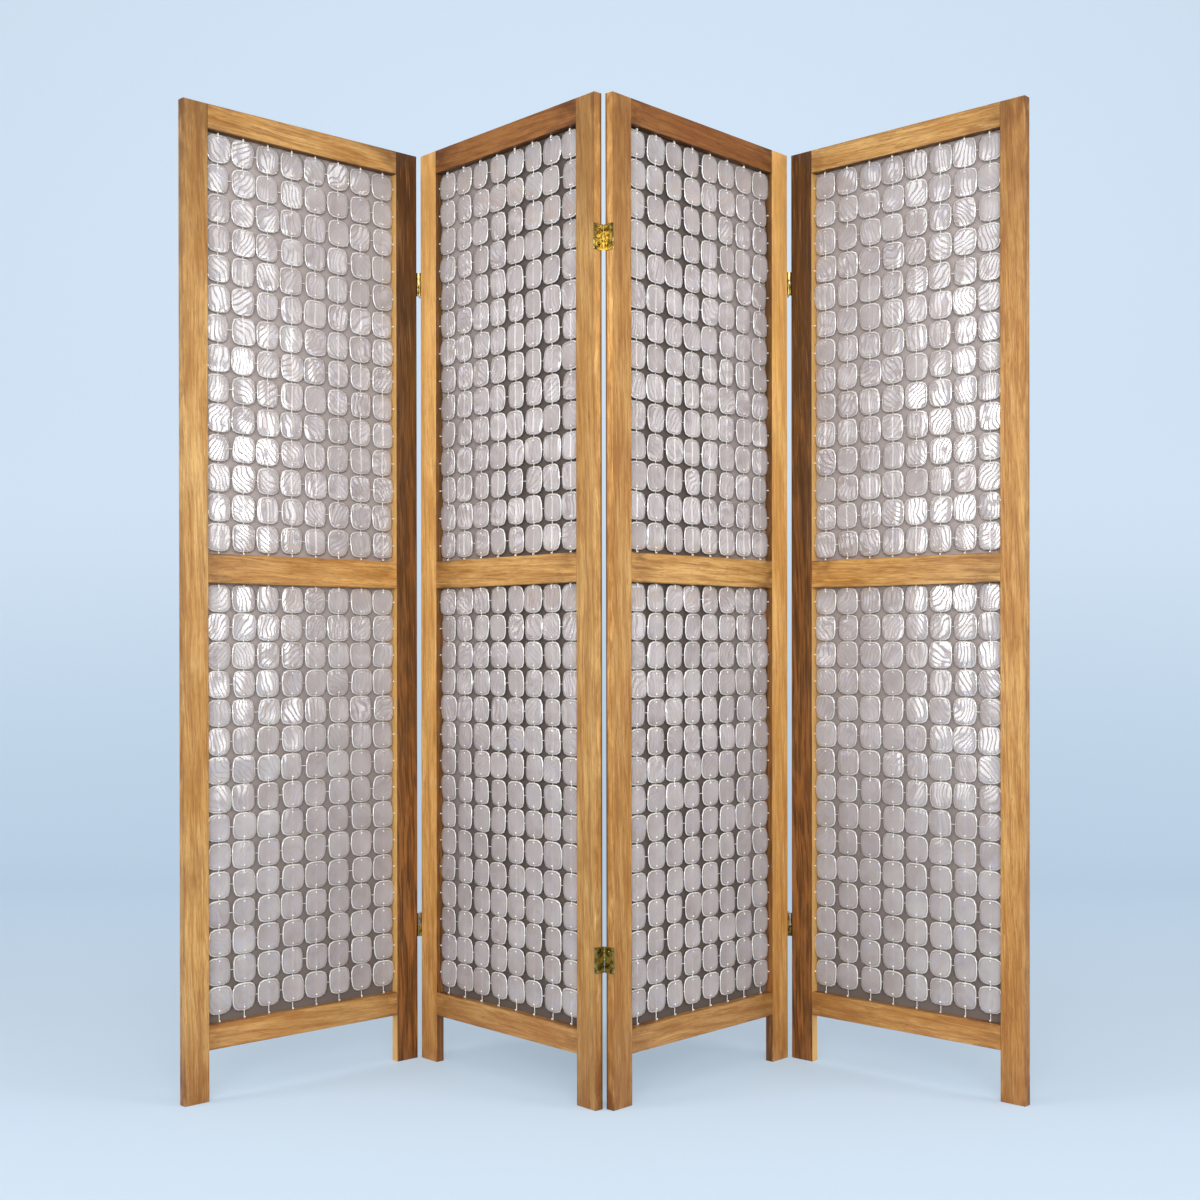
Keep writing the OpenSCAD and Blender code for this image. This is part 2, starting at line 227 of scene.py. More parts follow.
class ShaderSketch(NodeSketch):
    """A material's tree, with the nodes that the finishes share."""

    def __init__(self, name: str) -> None:
        """Makes the material and its output."""
        self.material = bpy.data.materials.new(name)
        self.material.use_nodes = True
        super().__init__(self.material.node_tree)
        self.output = self.add("ShaderNodeOutputMaterial")

    def attribute(self, name: str) -> Wire:
        """Reads a vector that is stored on the piece."""
        return self.out("ShaderNodeAttribute", pick="Vector", attribute_name=name)

    def place(self) -> Wire:
        """Reads the place in the piece's own coordinates."""
        return self.out("ShaderNodeTexCoord", pick="Object")

    def between(self, share: Any, first: Colour, second: Colour) -> Wire:
        """Mixes two colours by a share of the second."""
        inputs = {0: share, 6: linear(first), 7: linear(second)}
        return self.out("ShaderNodeMix", inputs, pick=2, data_type="RGBA")

    def finish(self, **inputs: Any) -> Material:
        """Feeds a principled shader, puts it out and returns the material.

        Args:
            **inputs: Input names with underscores for spaces, and their values.

        Returns:
            The finished material.
        """
        named = {name.replace("_", " "): value for name, value in inputs.items()}
        shader = self.add("ShaderNodeBsdfPrincipled", named)
        self.tree.links.new(shader.outputs[0], self.output.inputs[0])
        return self.material


@dataclass(frozen=True)
class Figure:
    """A noise in the timber: its scale each way, and its finer layers."""

    scale: Triple
    detail: float = 2.0
    rough: float = 0.5
    bends: bool = True


FIGURES = {
    "fibre": Figure((640, 640, 14), 3.0, 0.65),
    "flame": Figure((70, 70, 9), 4.0, 0.62),
    "streak": Figure((230, 230, 6.5), 3.0, 0.65),
    "fleck": Figure((300, 300, 11)),
    "cloud": Figure((24, 24, 5), 4.0, 0.6, bends=False),
    "pores": Figure((1300, 1300, 60), 1.0, bends=False),
    "smoky": Figure((20, 20, 7), 3.0, 0.6, bends=False),
    "blotch": Figure((60, 60, 22), 3.0, 0.6, bends=False),
}


@dataclass(frozen=True)
class HoneyWood:
    """Oiled honey-brown timber with its grain along the board.

    A row of late_wood is a figure, its span and its strength, and a row of dark_figure
    has a colour too, laid into the dark colour of darkened fronts and painted shade. A
    row of bends is how fine a bend of the grain is each way, and how far it reaches.
    smoke_shares are for patches, board ends and long edges.
    """

    pale: Colour = (228, 182, 112)
    honey: Colour = (200, 147, 76)
    late: Colour = (152, 95, 38)
    pore: Colour = (96, 56, 20)
    smoke: Colour = (98, 58, 22)
    rust: Colour = (148, 86, 38)
    dusky: Colour = (122, 76, 30)
    warm: Colour = (252, 214, 180)
    painted_lit_side: Colour = (242, 190, 112)
    dark_and_painted_shade: Colour = (88, 50, 16)
    darkened: Colour = (152, 94, 44)
    glint: Colour = (150, 100, 56)
    late_wood: tuple[tuple[str, Span, float], ...] = (
        ("flame", (0.46, 0.66), 0.46),
        ("line", (0.0, 1.0), 0.34),
        ("streak", (0.5, 0.64), 0.5),
        ("fibre", (0.44, 0.68), 0.5),
    )
    dark_figure: tuple[tuple[str, Span, float, Colour], ...] = (
        ("flame", (0.4, 0.6), 0.6, (60, 34, 14)),
        ("streak", (0.45, 0.6), 0.7, (48, 26, 10)),
    )
    bends: tuple[tuple[Triple, float], ...] = (((14, 14, 2.6), 0.026), ((55, 55, 9), 0.0045))
    ring_stretch: Triple = (1, 1, 0.07)
    ring_scale: float = 17.0
    ring_ripple: tuple[float, ...] = (9.0, 4.0, 1.6, 0.6)
    ring_line: Span = (0.5, 1.0)
    open_pore: Span = (0.6, 0.72)
    fleck: Span = (0.56, 0.7)
    cloud: Span = (0.34, 0.66)
    painted_light_pale: Span = (1.0, 1.9)
    dark_rise: Span = (1.6, 0.1)
    end_blotch: Span = (0.3, 0.62)
    rim_blotch: Span = (0.25, 0.6)
    smoke_patch: Span = (0.54, 0.78)
    smoked_share: Span = (0.0, 1.2)
    knot_scale: Triple = (11, 11, 2.4)
    knot_core: Span = (0.085, 0.02)
    fold_shade_edge: tuple[Span, Span] = ((0.0115, 0.016), (0.01698, 0.0168))
    fleck_share: float = 0.5
    pore_share: float = 0.5
    painted_light_pale_share: float = 0.4
    fold_shade_share: float = 0.85
    painted_lit_share: float = 0.7
    rust_share: float = 0.4
    knot_share: float = 0.6
    smoke_shares: Triple = (0.4, 0.55, 0.45)
    foot: Span = (0.32, 0.02)
    head: Span = (1.3, 1.72)
    end: Span = (0.11, 0.0)
    rim: Span = (0.0035, 0.0)

    def material(self) -> Material:
        """Builds the material from what is stored on each board.

        It reads "grain" (where the grain runs), "board" (how dark, as a darkened front or
        as painted shade, how warm, and how much painted light falls on the inner side of a
        darkened stile), "run" (how far both ends are, and 1 on a stile), "span" (how far
        both long edges and the front are), "tone" (how light, as the board's own tone and
        as painted light and shade) and "fold" (1 on a stile at the middle fold, whose
        back edge gets painted shade).

        Returns:
            The wood's material.
        """
        draw = ShaderSketch("honey_wood")
        board = draw.attribute("board")
        seen = self.figures(draw)
        bright = seen["fleck"].step(*self.fleck) * self.fleck_share
        base = draw.between(seen["cloud"].step(*self.cloud), self.honey, self.pale)
        for name, span, share in self.late_wood:
            base = base.mix(seen[name].step(*span) * share, self.late)
        base = base.mix(bright, self.pale).mix(seen["pit"] * self.pore_share, self.pore)
        base = self.smoke_on(draw, seen, base)
        base = base.mix(1.0, draw.between(board[1], (255, 255, 255), self.warm), "MULTIPLY")
        # tone holds painted light and shade as well as each board's own tone; where it lifts a
        # timber above 1, the timber is painted paler too.
        tone = draw.attribute("tone")[0]
        base = base.mix(tone.step(*self.painted_light_pale) * self.painted_light_pale_share, self.pale).scale(tone)
        # The dark colour, darker towards the head: the front of a darkened stile, and painted
        # shade on inner sides, under the top rails and at the middle fold.
        dark_and_painted_shade = draw.between(draw.place()[2].step(*self.dark_rise), self.dark_and_painted_shade, self.darkened)
        for name, span, share, colour in self.dark_figure:
            dark_and_painted_shade = dark_and_painted_shade.mix(seen[name].step(*span) * share, colour)
        dark_and_painted_shade = dark_and_painted_shade.mix(bright, self.glint)
        # Painted shade on the back edges of the stiles at the middle fold.
        start, stop = (draw.attribute("span")[2].step(*span) for span in self.fold_shade_edge)
        fold_shade = start * stop * draw.attribute("fold")[0]
        base = base.mix(fold_shade * self.fold_shade_share, self.dark_and_painted_shade)
        # board lays on the darkened fronts and the painted shade, then painted light on a darkened
        # stile's inner side.
        base = base.mix(board[0], dark_and_painted_shade).mix(board[2] * self.painted_lit_share, self.painted_lit_side)
        relief = seen["fibre"] * 0.5 - seen["pit"] * 0.7 - seen["line"] * 0.25
        return draw.finish(
            Base_Color=base,
            Roughness=seen["fibre"] * 0.22 + 0.34,
            IOR=1.48,
            Specular_IOR_Level=0.32,
            Coat_Weight=0.12,
            Coat_Roughness=0.34,
            Normal=relief.bump(0.35, 0.0004),
        )

    def figures(self, draw: ShaderSketch) -> dict[str, Wire]:
        """Bends the grain in a wide wave and a small one and draws its figures.

        Args:
            draw: The material's tree.

        Returns:
            The figures by name. "bent" is where the bent grain runs, "line" the year
            rings and "pit" the open pores.
        """
        grain = bent = draw.attribute("grain")
        for factors, reach in self.bends:
            wander = bent.stretch(factors).swirl(1.0, 2.0)
            bent = bent.shift(wander.stretch((reach, reach, 0.0)))
        seen = {
            name: (bent if one.bends else grain).noise(one.scale, one.detail, one.rough)
            for name, one in FIGURES.items()
        }
        rings = bent.stretch(self.ring_stretch).wave(
            self.ring_scale,
            self.ring_ripple,
            wave_type="RINGS",
            rings_direction="Z",
            wave_profile="SAW",
        )
        lines = {"line": rings.step(*self.ring_line), "pit": seen["pores"].step(*self.open_pore)}
        return {**seen, **lines, "bent": bent}

    def smoke_on(self, draw: ShaderSketch, seen: dict[str, Wire], base: Wire) -> Wire:
        """Darkens patches, board ends, edges, feet, stile heads and small knots.

        Args:
            draw: The material's tree.
            seen: The figures by name.
            base: The colour so far.

        Returns:
            The darkened colour.
        """
        blotch = seen["blotch"]
        run, span, height = draw.attribute("run"), draw.attribute("span"), draw.place()[2]
        end = run[0].maths("MINIMUM", run[1]).step(*self.end)
        end = end * blotch.step(*self.end_blotch)
        rim = span[0].maths("MINIMUM", span[1]).step(*self.rim)
        rim = rim * blotch.step(*self.rim_blotch)
        in_patch, at_end, at_rim = self.smoke_shares
        patch = seen["smoky"].step(*self.smoke_patch) * in_patch + end * at_end + rim * at_rim
        base = base.mix(patch.step(*self.smoked_share), self.smoke)
        base = base.mix(height.step(*self.foot) * self.rust_share, self.rust)
        base = base.mix(height.step(*self.head) * (blotch * 0.9 + 0.05) * run[2], self.dusky)
        place = seen["bent"].stretch(self.knot_scale)
        knot = draw.out("ShaderNodeTexVoronoi", {"Vector": place, "Scale": 1.0}, pick=0)
        return base.mix(knot.step(*self.knot_core) * self.knot_share, self.pore)


@dataclass(frozen=True)
class Nacre:
    """Thin translucent shell with pearly growth lines and a milky rim."""

    flesh: Colour = (188, 174, 169)
    milk: Colour = (240, 232, 228)
    rim: Colour = (255, 249, 240)
    orient: Colour = (206, 206, 240)
    vein: Colour = (104, 92, 88)
    clear: float = 0.5
    pearl_share: float = 0.06
    hint_share: float = 0.22
    vein_share: float = 0.12
    inner_share: float = 0.3
    thread_share: float = 0.55
    line_turn: float = 1.9
    cloud_scale: float = 1.1
    hint_scale: float = 1.6
    luck_shift: Triple = (23, 31, 17)
    line_scale: float = 0.9
    line_ripple: tuple[float, ...] = (3.5, 1.5, 0.7, 0.5)
    line_swirl: Triple = (1.7, 1.7, 0)
    vigour: Span = (-0.2, 0.45)
    lively: Span = (0.4, 0.7)
    patches: Span = (0.3, 0.46)
    pearls: Span = (0.1, 0.42)
    veins: Span = (0.16, 0.04)
    edge: Span = (0.52, 0.66)
    inner: Span = (0.36, 0.48)
    # glow is the span of a painted sheen across each shell.
    glow: Span = (-1.0, 1.2)
    hints: Span = (0.52, 0.66)
    cloudy: Span = (0.3, 0.65)
    thread_width: Span = (0.1, 0.03)
    thread_reach: Span = (0.78, 0.68)
    thread_luck: Span = (0.4, 0.75)
    thread_top: Span = (1.62, 1.3)
    thread_bottom: Span = (0.91, 0.96)

    def material(self) -> Material:
        """Builds the material. It reads "shell_place" and "shell_chance".

        Returns:
            The shells' material.
        """
        draw = ShaderSketch("nacre")
        place, chance = draw.attribute("shell_place"), draw.attribute("shell_chance")
        height = draw.place()[2]
        angle = (chance[0] - 0.5) * self.line_turn
        inputs = {"Vector": place.stretch((1, 1, 0)), "Angle": angle}
        turned = draw.out("ShaderNodeVectorRotate", inputs, rotation_type="Z_AXIS")
        own = turned.shift(chance.stretch(self.luck_shift))
        cloud = own.noise(self.cloud_scale)
        arcs = own.shift(own.swirl(0.5, 1.0).stretch(self.line_swirl))
        growth = arcs.wave(
            self.line_scale, self.line_ripple, wave_type="BANDS", bands_direction="X"
        )
        vigour = chance[2].step(*self.vigour)
        lively = height.step(*self.lively) * 0.75 + 0.25
        patch = cloud.step(*self.patches) * vigour * lively
        pearl = growth.step(*self.pearls) * patch
        vein = growth.step(*self.veins) * patch
        edge = place[2].step(*self.edge)
        through = self.thread_line(place, chance, height)
        # turned[0] paints a sheen across each shell, lighter to one side and darker to the other.
        milky = cloud * 0.5 + chance[1] * 0.28 + turned[0].step(*self.glow) * 0.26 - 0.12
        bright = cloud.step(*self.cloudy) * 0.4 + 0.52
        base = draw.between(milky, self.flesh, self.milk)
        base = base.mix(pearl * self.pearl_share, self.milk)
        hint = own.noise(self.hint_scale, 1.0).step(*self.hints)
        base = base.mix(hint * self.hint_share * vigour, self.orient)
        base = base.mix(vein * self.vein_share, self.vein)
        base = base.mix(place[2].step(*self.inner) * self.inner_share, self.vein)
        base = base.mix(through * self.thread_share, self.rim).mix(edge * bright, self.rim)
        return draw.finish(
            Base_Color=base,
            Roughness=cloud * 0.3 + 0.2,
            IOR=1.5,
            Alpha=pearl * 0.22 + edge * 0.35 + through * 0.3 + self.clear,
            Coat_Weight=pearl + edge * 0.3 + 0.2 - vein * 0.7,
            Coat_IOR=3.0,
            Coat_Roughness=0.11,
            Thin_Film_Thickness=330.0,
            Thin_Film_IOR=1.45,
            Normal=(growth * 0.6 + cloud * 1.5).bump(0.3, 0.001),
        )

    def thread_line(self, place: Wire, chance: Wire, height: Wire) -> Wire:
        """Marks where the thread behind a shell shows through it.

        Args:
            place: Place on the shell.
            chance: The shell's own luck.
            height: Level in the screen.

        Returns:
            The share of the thread, only from hole to hole, on some of the shells
            above the middle rail.
        """
        line = place[0].maths("ABSOLUTE").step(*self.thread_width)
        line = line * place[1].maths("ABSOLUTE").step(*self.thread_reach)
        shown = chance[1].step(*self.thread_luck)
        return line * shown * height.step(*self.thread_top) * height.step(*self.thread_bottom)


@dataclass(frozen=True)
class PaleThread:
    """Pale twisted thread."""

    pale: Colour = (255, 252, 246)
    shade: Colour = (226, 216, 202)
    ply_scale: float = 900.0 / 6.283
    fluff: float = 900.0

    def material(self) -> Material:
        """Builds the thread's material."""
        draw = ShaderSketch("pale_thread")
        place = draw.place()
        ply = place.stretch((1, 1, 0.8)).wave(self.ply_scale, bands_direction="DIAGONAL")
        return draw.finish(
            Base_Color=draw.between(ply * 0.5, self.pale, self.shade),
            Roughness=0.75,
            Sheen_Weight=0.3,
            Sheen_Roughness=0.5,
            Normal=(ply + place.noise(self.fluff)).bump(0.4, 0.0002),
        )


@dataclass(frozen=True)
class MauveCloth:
    """Plain-woven mauve-grey backing cloth."""

    light: Colour = (176, 163, 158)
    dark: Colour = (150, 136, 131)
    # The colour of the painted shade.
    painted_shade: Colour = (82, 69, 61)
    weave_scale: float = 0.314 / 0.0009
    slub: Triple = (900, 40, 1)
    shade_scale: float = 6.0
    shaded: Span = (0.1, 1.0)

    def material(self) -> Material:
        """Builds the cloth's material. It reads the UV map and "dusk"."""
        draw = ShaderSketch("mauve_cloth")
        place = draw.out("ShaderNodeUVMap", uv_map="weave")
        warp, weft = (place.wave(self.weave_scale, bands_direction=way) for way in "XY")
        weave = warp * weft
        # Painted shade towards the middle fold and the floor, broken up by a noise.
        shadow = draw.attribute("painted_shade")[0] + place.noise(self.shade_scale, 3.0) * 0.25
        base = draw.between(weave * 0.6, self.light, self.dark)
        base = base.mix(place.noise(self.slub) * 0.3, self.dark)
        return draw.finish(
            Base_Color=base.mix(shadow.step(*self.shaded), self.painted_shade),
            Roughness=0.85,
            Sheen_Weight=0.25,
            Sheen_Roughness=0.5,
            Normal=weave.bump(0.3, 0.0002),
        )


@dataclass(frozen=True)
class RolledBrass:
    """Rolled brass with handled, slightly tarnished faces."""

    name: str = "rolled_brass"
    bright: Colour = (186, 166, 100)
    dull: Colour = (128, 108, 58)
    tarnish: Colour = (50, 38, 20)
    stained: float = 0.75
    stain_scale: float = 160.0
    dulled: Span = (0.35, 0.7)
    spotted: Span = (0.5, 0.7)
    brush: Triple = (400, 400, 4000)

    def material(self) -> Material:
        """Builds the brass of the hinges, screws and pins."""
        draw = ShaderSketch(self.name)
        place = draw.place()
        stain = place.noise(self.stain_scale, 3.0, 0.55)
        base = draw.between(stain.step(*self.dulled), self.bright, self.dull)
        return draw.finish(
            Base_Color=base.mix(stain.step(*self.spotted) * self.stained, self.tarnish),
            Metallic=1.0,
            Roughness=stain * 0.2 + 0.1,
            Normal=place.noise(self.brush, 1.0).bump(0.06, 0.00005),
        )


@dataclass(frozen=True)
class StudioPaper:
    """Seamless pale blue paper of the floor and the backdrop."""

    floor: Colour = (210, 227, 242)
    bend: Colour = (215, 236, 255)
    wall: Colour = (221, 238, 253)
    floor_glow: float = 0.385
    wall_glow: float = 0.51
    lit: float = 0.62
    bend_span: Span = (0.3, 2.2)
    wall_span: Span = (0.05, 1.6)

    def material(self) -> Material:
        """Builds paper that shows its own colour to the camera and takes shadows."""
        draw = ShaderSketch("studio_paper")
        place = draw.place()
        rise = place[2].step(*self.wall_span)
        tone = draw.between(place[1].step(*self.bend_span), self.floor, self.bend)
        tone = tone.mix(rise, self.wall)
        rays = [
            draw.out("ShaderNodeLightPath", pick=f"Is {kind} Ray")
            for kind in ("Camera", "Glossy", "Transmission")
        ]
        glow = rise * (self.wall_glow - self.floor_glow) + self.floor_glow
        shown = (rays[0] + rays[1] + rays[2]).step(0.0, 1.0) * glow
        shine = draw.out("ShaderNodeEmission", {"Color": tone, "Strength": shown})
        lit = tone.mix(1.0, [self.lit, self.lit, self.lit, 1.0], "MULTIPLY")
        matt = draw.out("ShaderNodeBsdfDiffuse", {"Color": lit})
        both = draw.out("ShaderNodeAddShader", {0: shine, 1: matt})
        draw.tree.links.new(both.socket, draw.output.inputs[0])
        return draw.material


class Workshop:
    """Turns rules and point lists into plain meshes."""

    @staticmethod
    def mesh(name: str, points: Sequence[Iterable[float]], faces: Sequence[Any]) -> Mesh:
        """Makes a mesh from points and faces."""
        mesh = bpy.data.meshes.new(name)
        mesh.from_pydata([tuple(point) for point in points], [], [tuple(one) for one in faces])
        mesh.update()
        return mesh

    @staticmethod
    def piece(name: str, mesh: Mesh) -> Object:
        """Puts a mesh into the scene as a piece at the origin."""
        piece = bpy.data.objects.new(name, mesh)
        bpy.context.scene.collection.objects.link(piece)
        return piece

    @staticmethod
    def vectors(mesh: Mesh, name: str, values: Sequence[Iterable[float]]) -> None:
        """Stores a vector on each point of a mesh."""
        layer = mesh.attributes.new(name, "FLOAT_VECTOR", "POINT")
        layer.data.foreach_set("vector", [part for value in values for part in value])

    @staticmethod
    def numbers(mesh: Mesh, name: str, kind: str, values: Sequence[Any]) -> None:
        """Stores a number or a yes or no on each point of a mesh."""
        layer = mesh.attributes.new(name, kind, "POINT")
        layer.data.foreach_set("value", list(values))

    @staticmethod
    def grow(name: str, seeds: Mesh, tree: NodeTree, inputs: dict[str, Any]) -> Mesh:
        """Runs a geometry tree on a mesh of seeds and returns a plain mesh.

        Args:
            name: Name of the mesh that is returned.
            seeds: The mesh that the tree starts from.
            tree: The geometry tree.
            inputs: Names of the tree's inputs and their values.

        Returns:
            The tree's result as a mesh without instances.
        """
        host = Workshop.piece(name + "_seeds", seeds)
        modifier = host.modifiers.new("rule", "NODES")
        modifier.node_group = tree
        for item in tree.interface.items_tree:
            if item.item_type == "SOCKET" and item.in_out == "INPUT" and item.name in inputs:
                modifier[item.identifier] = inputs[item.name]
        host.update_tag()
        bpy.context.view_layer.update()
        graph = bpy.context.evaluated_depsgraph_get()
        grown = bpy.data.meshes.new_from_object(
            host.evaluated_get(graph), preserve_all_data_layers=True, depsgraph=graph
        )
        grown.name = name
        host.modifiers.remove(modifier)
        bpy.data.objects.remove(host)
        return grown


class Rule(NodeSketch):
    """A geometry tree with named inputs."""

    def __init__(self, name: str, inputs: dict[str, str]) -> None:
        """Makes the tree, its interface and its group nodes.

        Args:
            name: Name of the tree.
            inputs: Names of the inputs and their kinds, such as Float. A seed and
                a finish are added to them.
        """
        tree = bpy.data.node_groups.new(name, "GeometryNodeTree")
        face = tree.interface
        kinds = {"Seeds": "Geometry", **inputs, "Seed": "Int", "Finish": "Material"}
        for title, kind in kinds.items():
            face.new_socket(name=title, in_out="INPUT", socket_type="NodeSocket" + kind)
        face.new_socket(name="Result", in_out="OUTPUT", socket_type="NodeSocketGeometry")
        super().__init__(tree)
        self.group = self.add("NodeGroupInput")
        self.result = self.add("NodeGroupOutput")

    def given(self, name: str) -> Wire:
        """Takes one of the tree's inputs."""
        return Wire(self, self.group.outputs[name])

    def stored(self, name: str, kind: str = "FLOAT_VECTOR") -> Wire:
        """Reads a value stored on the points."""
        return self.out("GeometryNodeInputNamedAttribute", {"Name": name}, data_type=kind)

    def luck(self, least: Triple, most: Triple, seed: Wire) -> Wire:
        """Draws a random vector for each point."""
        inputs = {0: least, 1: most, 8: seed}
        return self.out("FunctionNodeRandomValue", inputs, data_type="FLOAT_VECTOR")

    def close(self, geometry: Wire) -> None:
        """Ends the tree: plain geometry, smooth, in the given finish."""
        real = self.out("GeometryNodeRealizeInstances", {"Geometry": geometry})
        smooth = self.out("GeometryNodeSetShadeSmooth", {"Geometry": real})
        inputs = {"Geometry": smooth, "Material": self.given("Finish")}
        done = self.out("GeometryNodeSetMaterial", inputs)
        self.tree.links.new(done.socket, self.result.inputs[0])


class Opening(Enum):
    """The two openings of a panel."""

    UPPER = "upper"
    LOWER = "lower"


@dataclass(frozen=True)
class Rows:
    """Rows of shells in an opening: count, gap above the first, gap between two."""

    count: int
    first: float
    gap: float


@dataclass(frozen=True)
class Sizes:
    """Sizes of a panel, as in the CAD model."""

    height: float = 1.750
    width: float = 0.497
    depth: float = 0.017
    stile: float = 0.048
    top_rail: float = 0.044
    middle_rail: float = 0.052
    middle_level: float = 0.962
    bottom_rail: float = 0.044
    leg: float = 0.090
    shell_width: float = 0.0466
    shell_height: float = 0.0496
    shell_thickness: float = 0.0009
    shell_plane: float = 0.0102
    columns: int = 8
    upper_rows: Rows = Rows(14, 0.0027, 0.0032)
    lower_rows: Rows = Rows(15, 0.0012, 0.0012)
    hole_inset: float = 0.0062
    shell_shift: float = 0.0011
    shell_turn: float = 1.3
    cloth_gap: float = 0.0003
    cloth_thickness: float = 0.0006
    cloth_lap: float = 0.014
    inner_turn: float = 46.8
    outer_turn: float = 42.8

    @property
    def between(self) -> Span:
        """Inner edges of the left and the right stile."""
        return self.stile, self.width - self.stile

    @property
    def pitch(self) -> float:
        """Distance between two columns of shells."""
        return (self.width - 2 * self.stile) / self.columns

    def limits(self, opening: Opening) -> Span:
        """Lowest and highest level of an opening."""
        if opening is Opening.UPPER:
            return self.middle_level, self.height - self.top_rail
        return self.leg + self.bottom_rail, self.middle_level - self.middle_rail

    def rows(self, opening: Opening) -> list[float]:
        """Levels of the shells' centres in an opening, from the top."""
        rows = self.upper_rows if opening is Opening.UPPER else self.lower_rows
        top = self.limits(opening)[1] - rows.first - self.shell_height / 2
        return [top - row * (self.shell_height + rows.gap) for row in range(rows.count)]

    def column(self, index: int) -> float:
        """Place of a column's thread along the panel."""
        return self.stile + (index + 0.5) * self.pitch

    def turn(self, panel: int) -> float:
        """Turn of a panel about the vertical at rest, in radians."""
        degrees = {1: self.outer_turn, 2: -self.inner_turn, 3: self.inner_turn}
        return math.radians(degrees.get(panel, -self.outer_turn))


@dataclass
class Placement:
    """Where a panel's own frame lies in the screen's frame."""

    panel: int
    sizes: Sizes
    nodes: dict[str, Object]

    def __post_init__(self) -> None:
        """Reads the panel's corner from the CAD stile."""
        turn = Matrix.Rotation(self.sizes.turn(self.panel), 4, "Z")
        stile = self.nodes[self.node("left_stile")]
        flat = [turn.inverted() @ stile.matrix_world @ one.co for one in stile.data.vertices]
        corner = Vector((min(one.x for one in flat), min(one.y for one in flat), 0.0))
        self.matrix = turn @ Matrix.Translation(corner)

    @property
    def inner(self) -> bool:
        """Whether the panel meets the middle fold."""
        return self.panel in (2, 3)

    def node(self, part: str) -> str:
        """Name of the CAD node of a part of the panel."""
        return f"panel_{self.panel}_{part}"

    def fit(self, part: str, look: str, slot: str, mesh: Mesh) -> Object:
        """Moves a mesh from the panel's frame to its place, as the part's piece.

        Args:
            part: Name of the part in its panel, whose CAD node is replaced.
            look: What the piece's name adds to the node's.
            slot: Not used.
            mesh: The finished shape in the panel's frame.

        Returns:
            The finished piece.
        """
        mesh.transform(self.matrix)
        piece = Workshop.piece(f"{self.node(part)}_{look}", mesh)
        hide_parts(self.node(part))
        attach(piece, f"panel_{self.panel}")
        return piece


# How light each timber of panels 1 and 2 is at its low or left end, and at its other
# end: each board's own tone with painted light and shade. The outer panels' middle
# rails grow lighter towards the middle of the screen as a painted sheen, and the
# inner panels' far stiles are lit up to their heads as painted light. The far stile
# is the one away from the middle of the screen.
OUTER_TONES = {
    "far": (0.92, 0.9),
    "near": (1.06, 0.95),
    "top_rail": (0.87, 0.96),
    "middle_rail": (0.8, 1.1),
    "bottom_rail": (1.0, 1.0),
}
INNER_TONES = {
    "far": (1.14, 1.6),
    "near": (0.8, 0.86),
    "top_rail": (0.47, 0.47),
    "middle_rail": (0.92, 0.92),
    "bottom_rail": (0.9, 0.9),
}


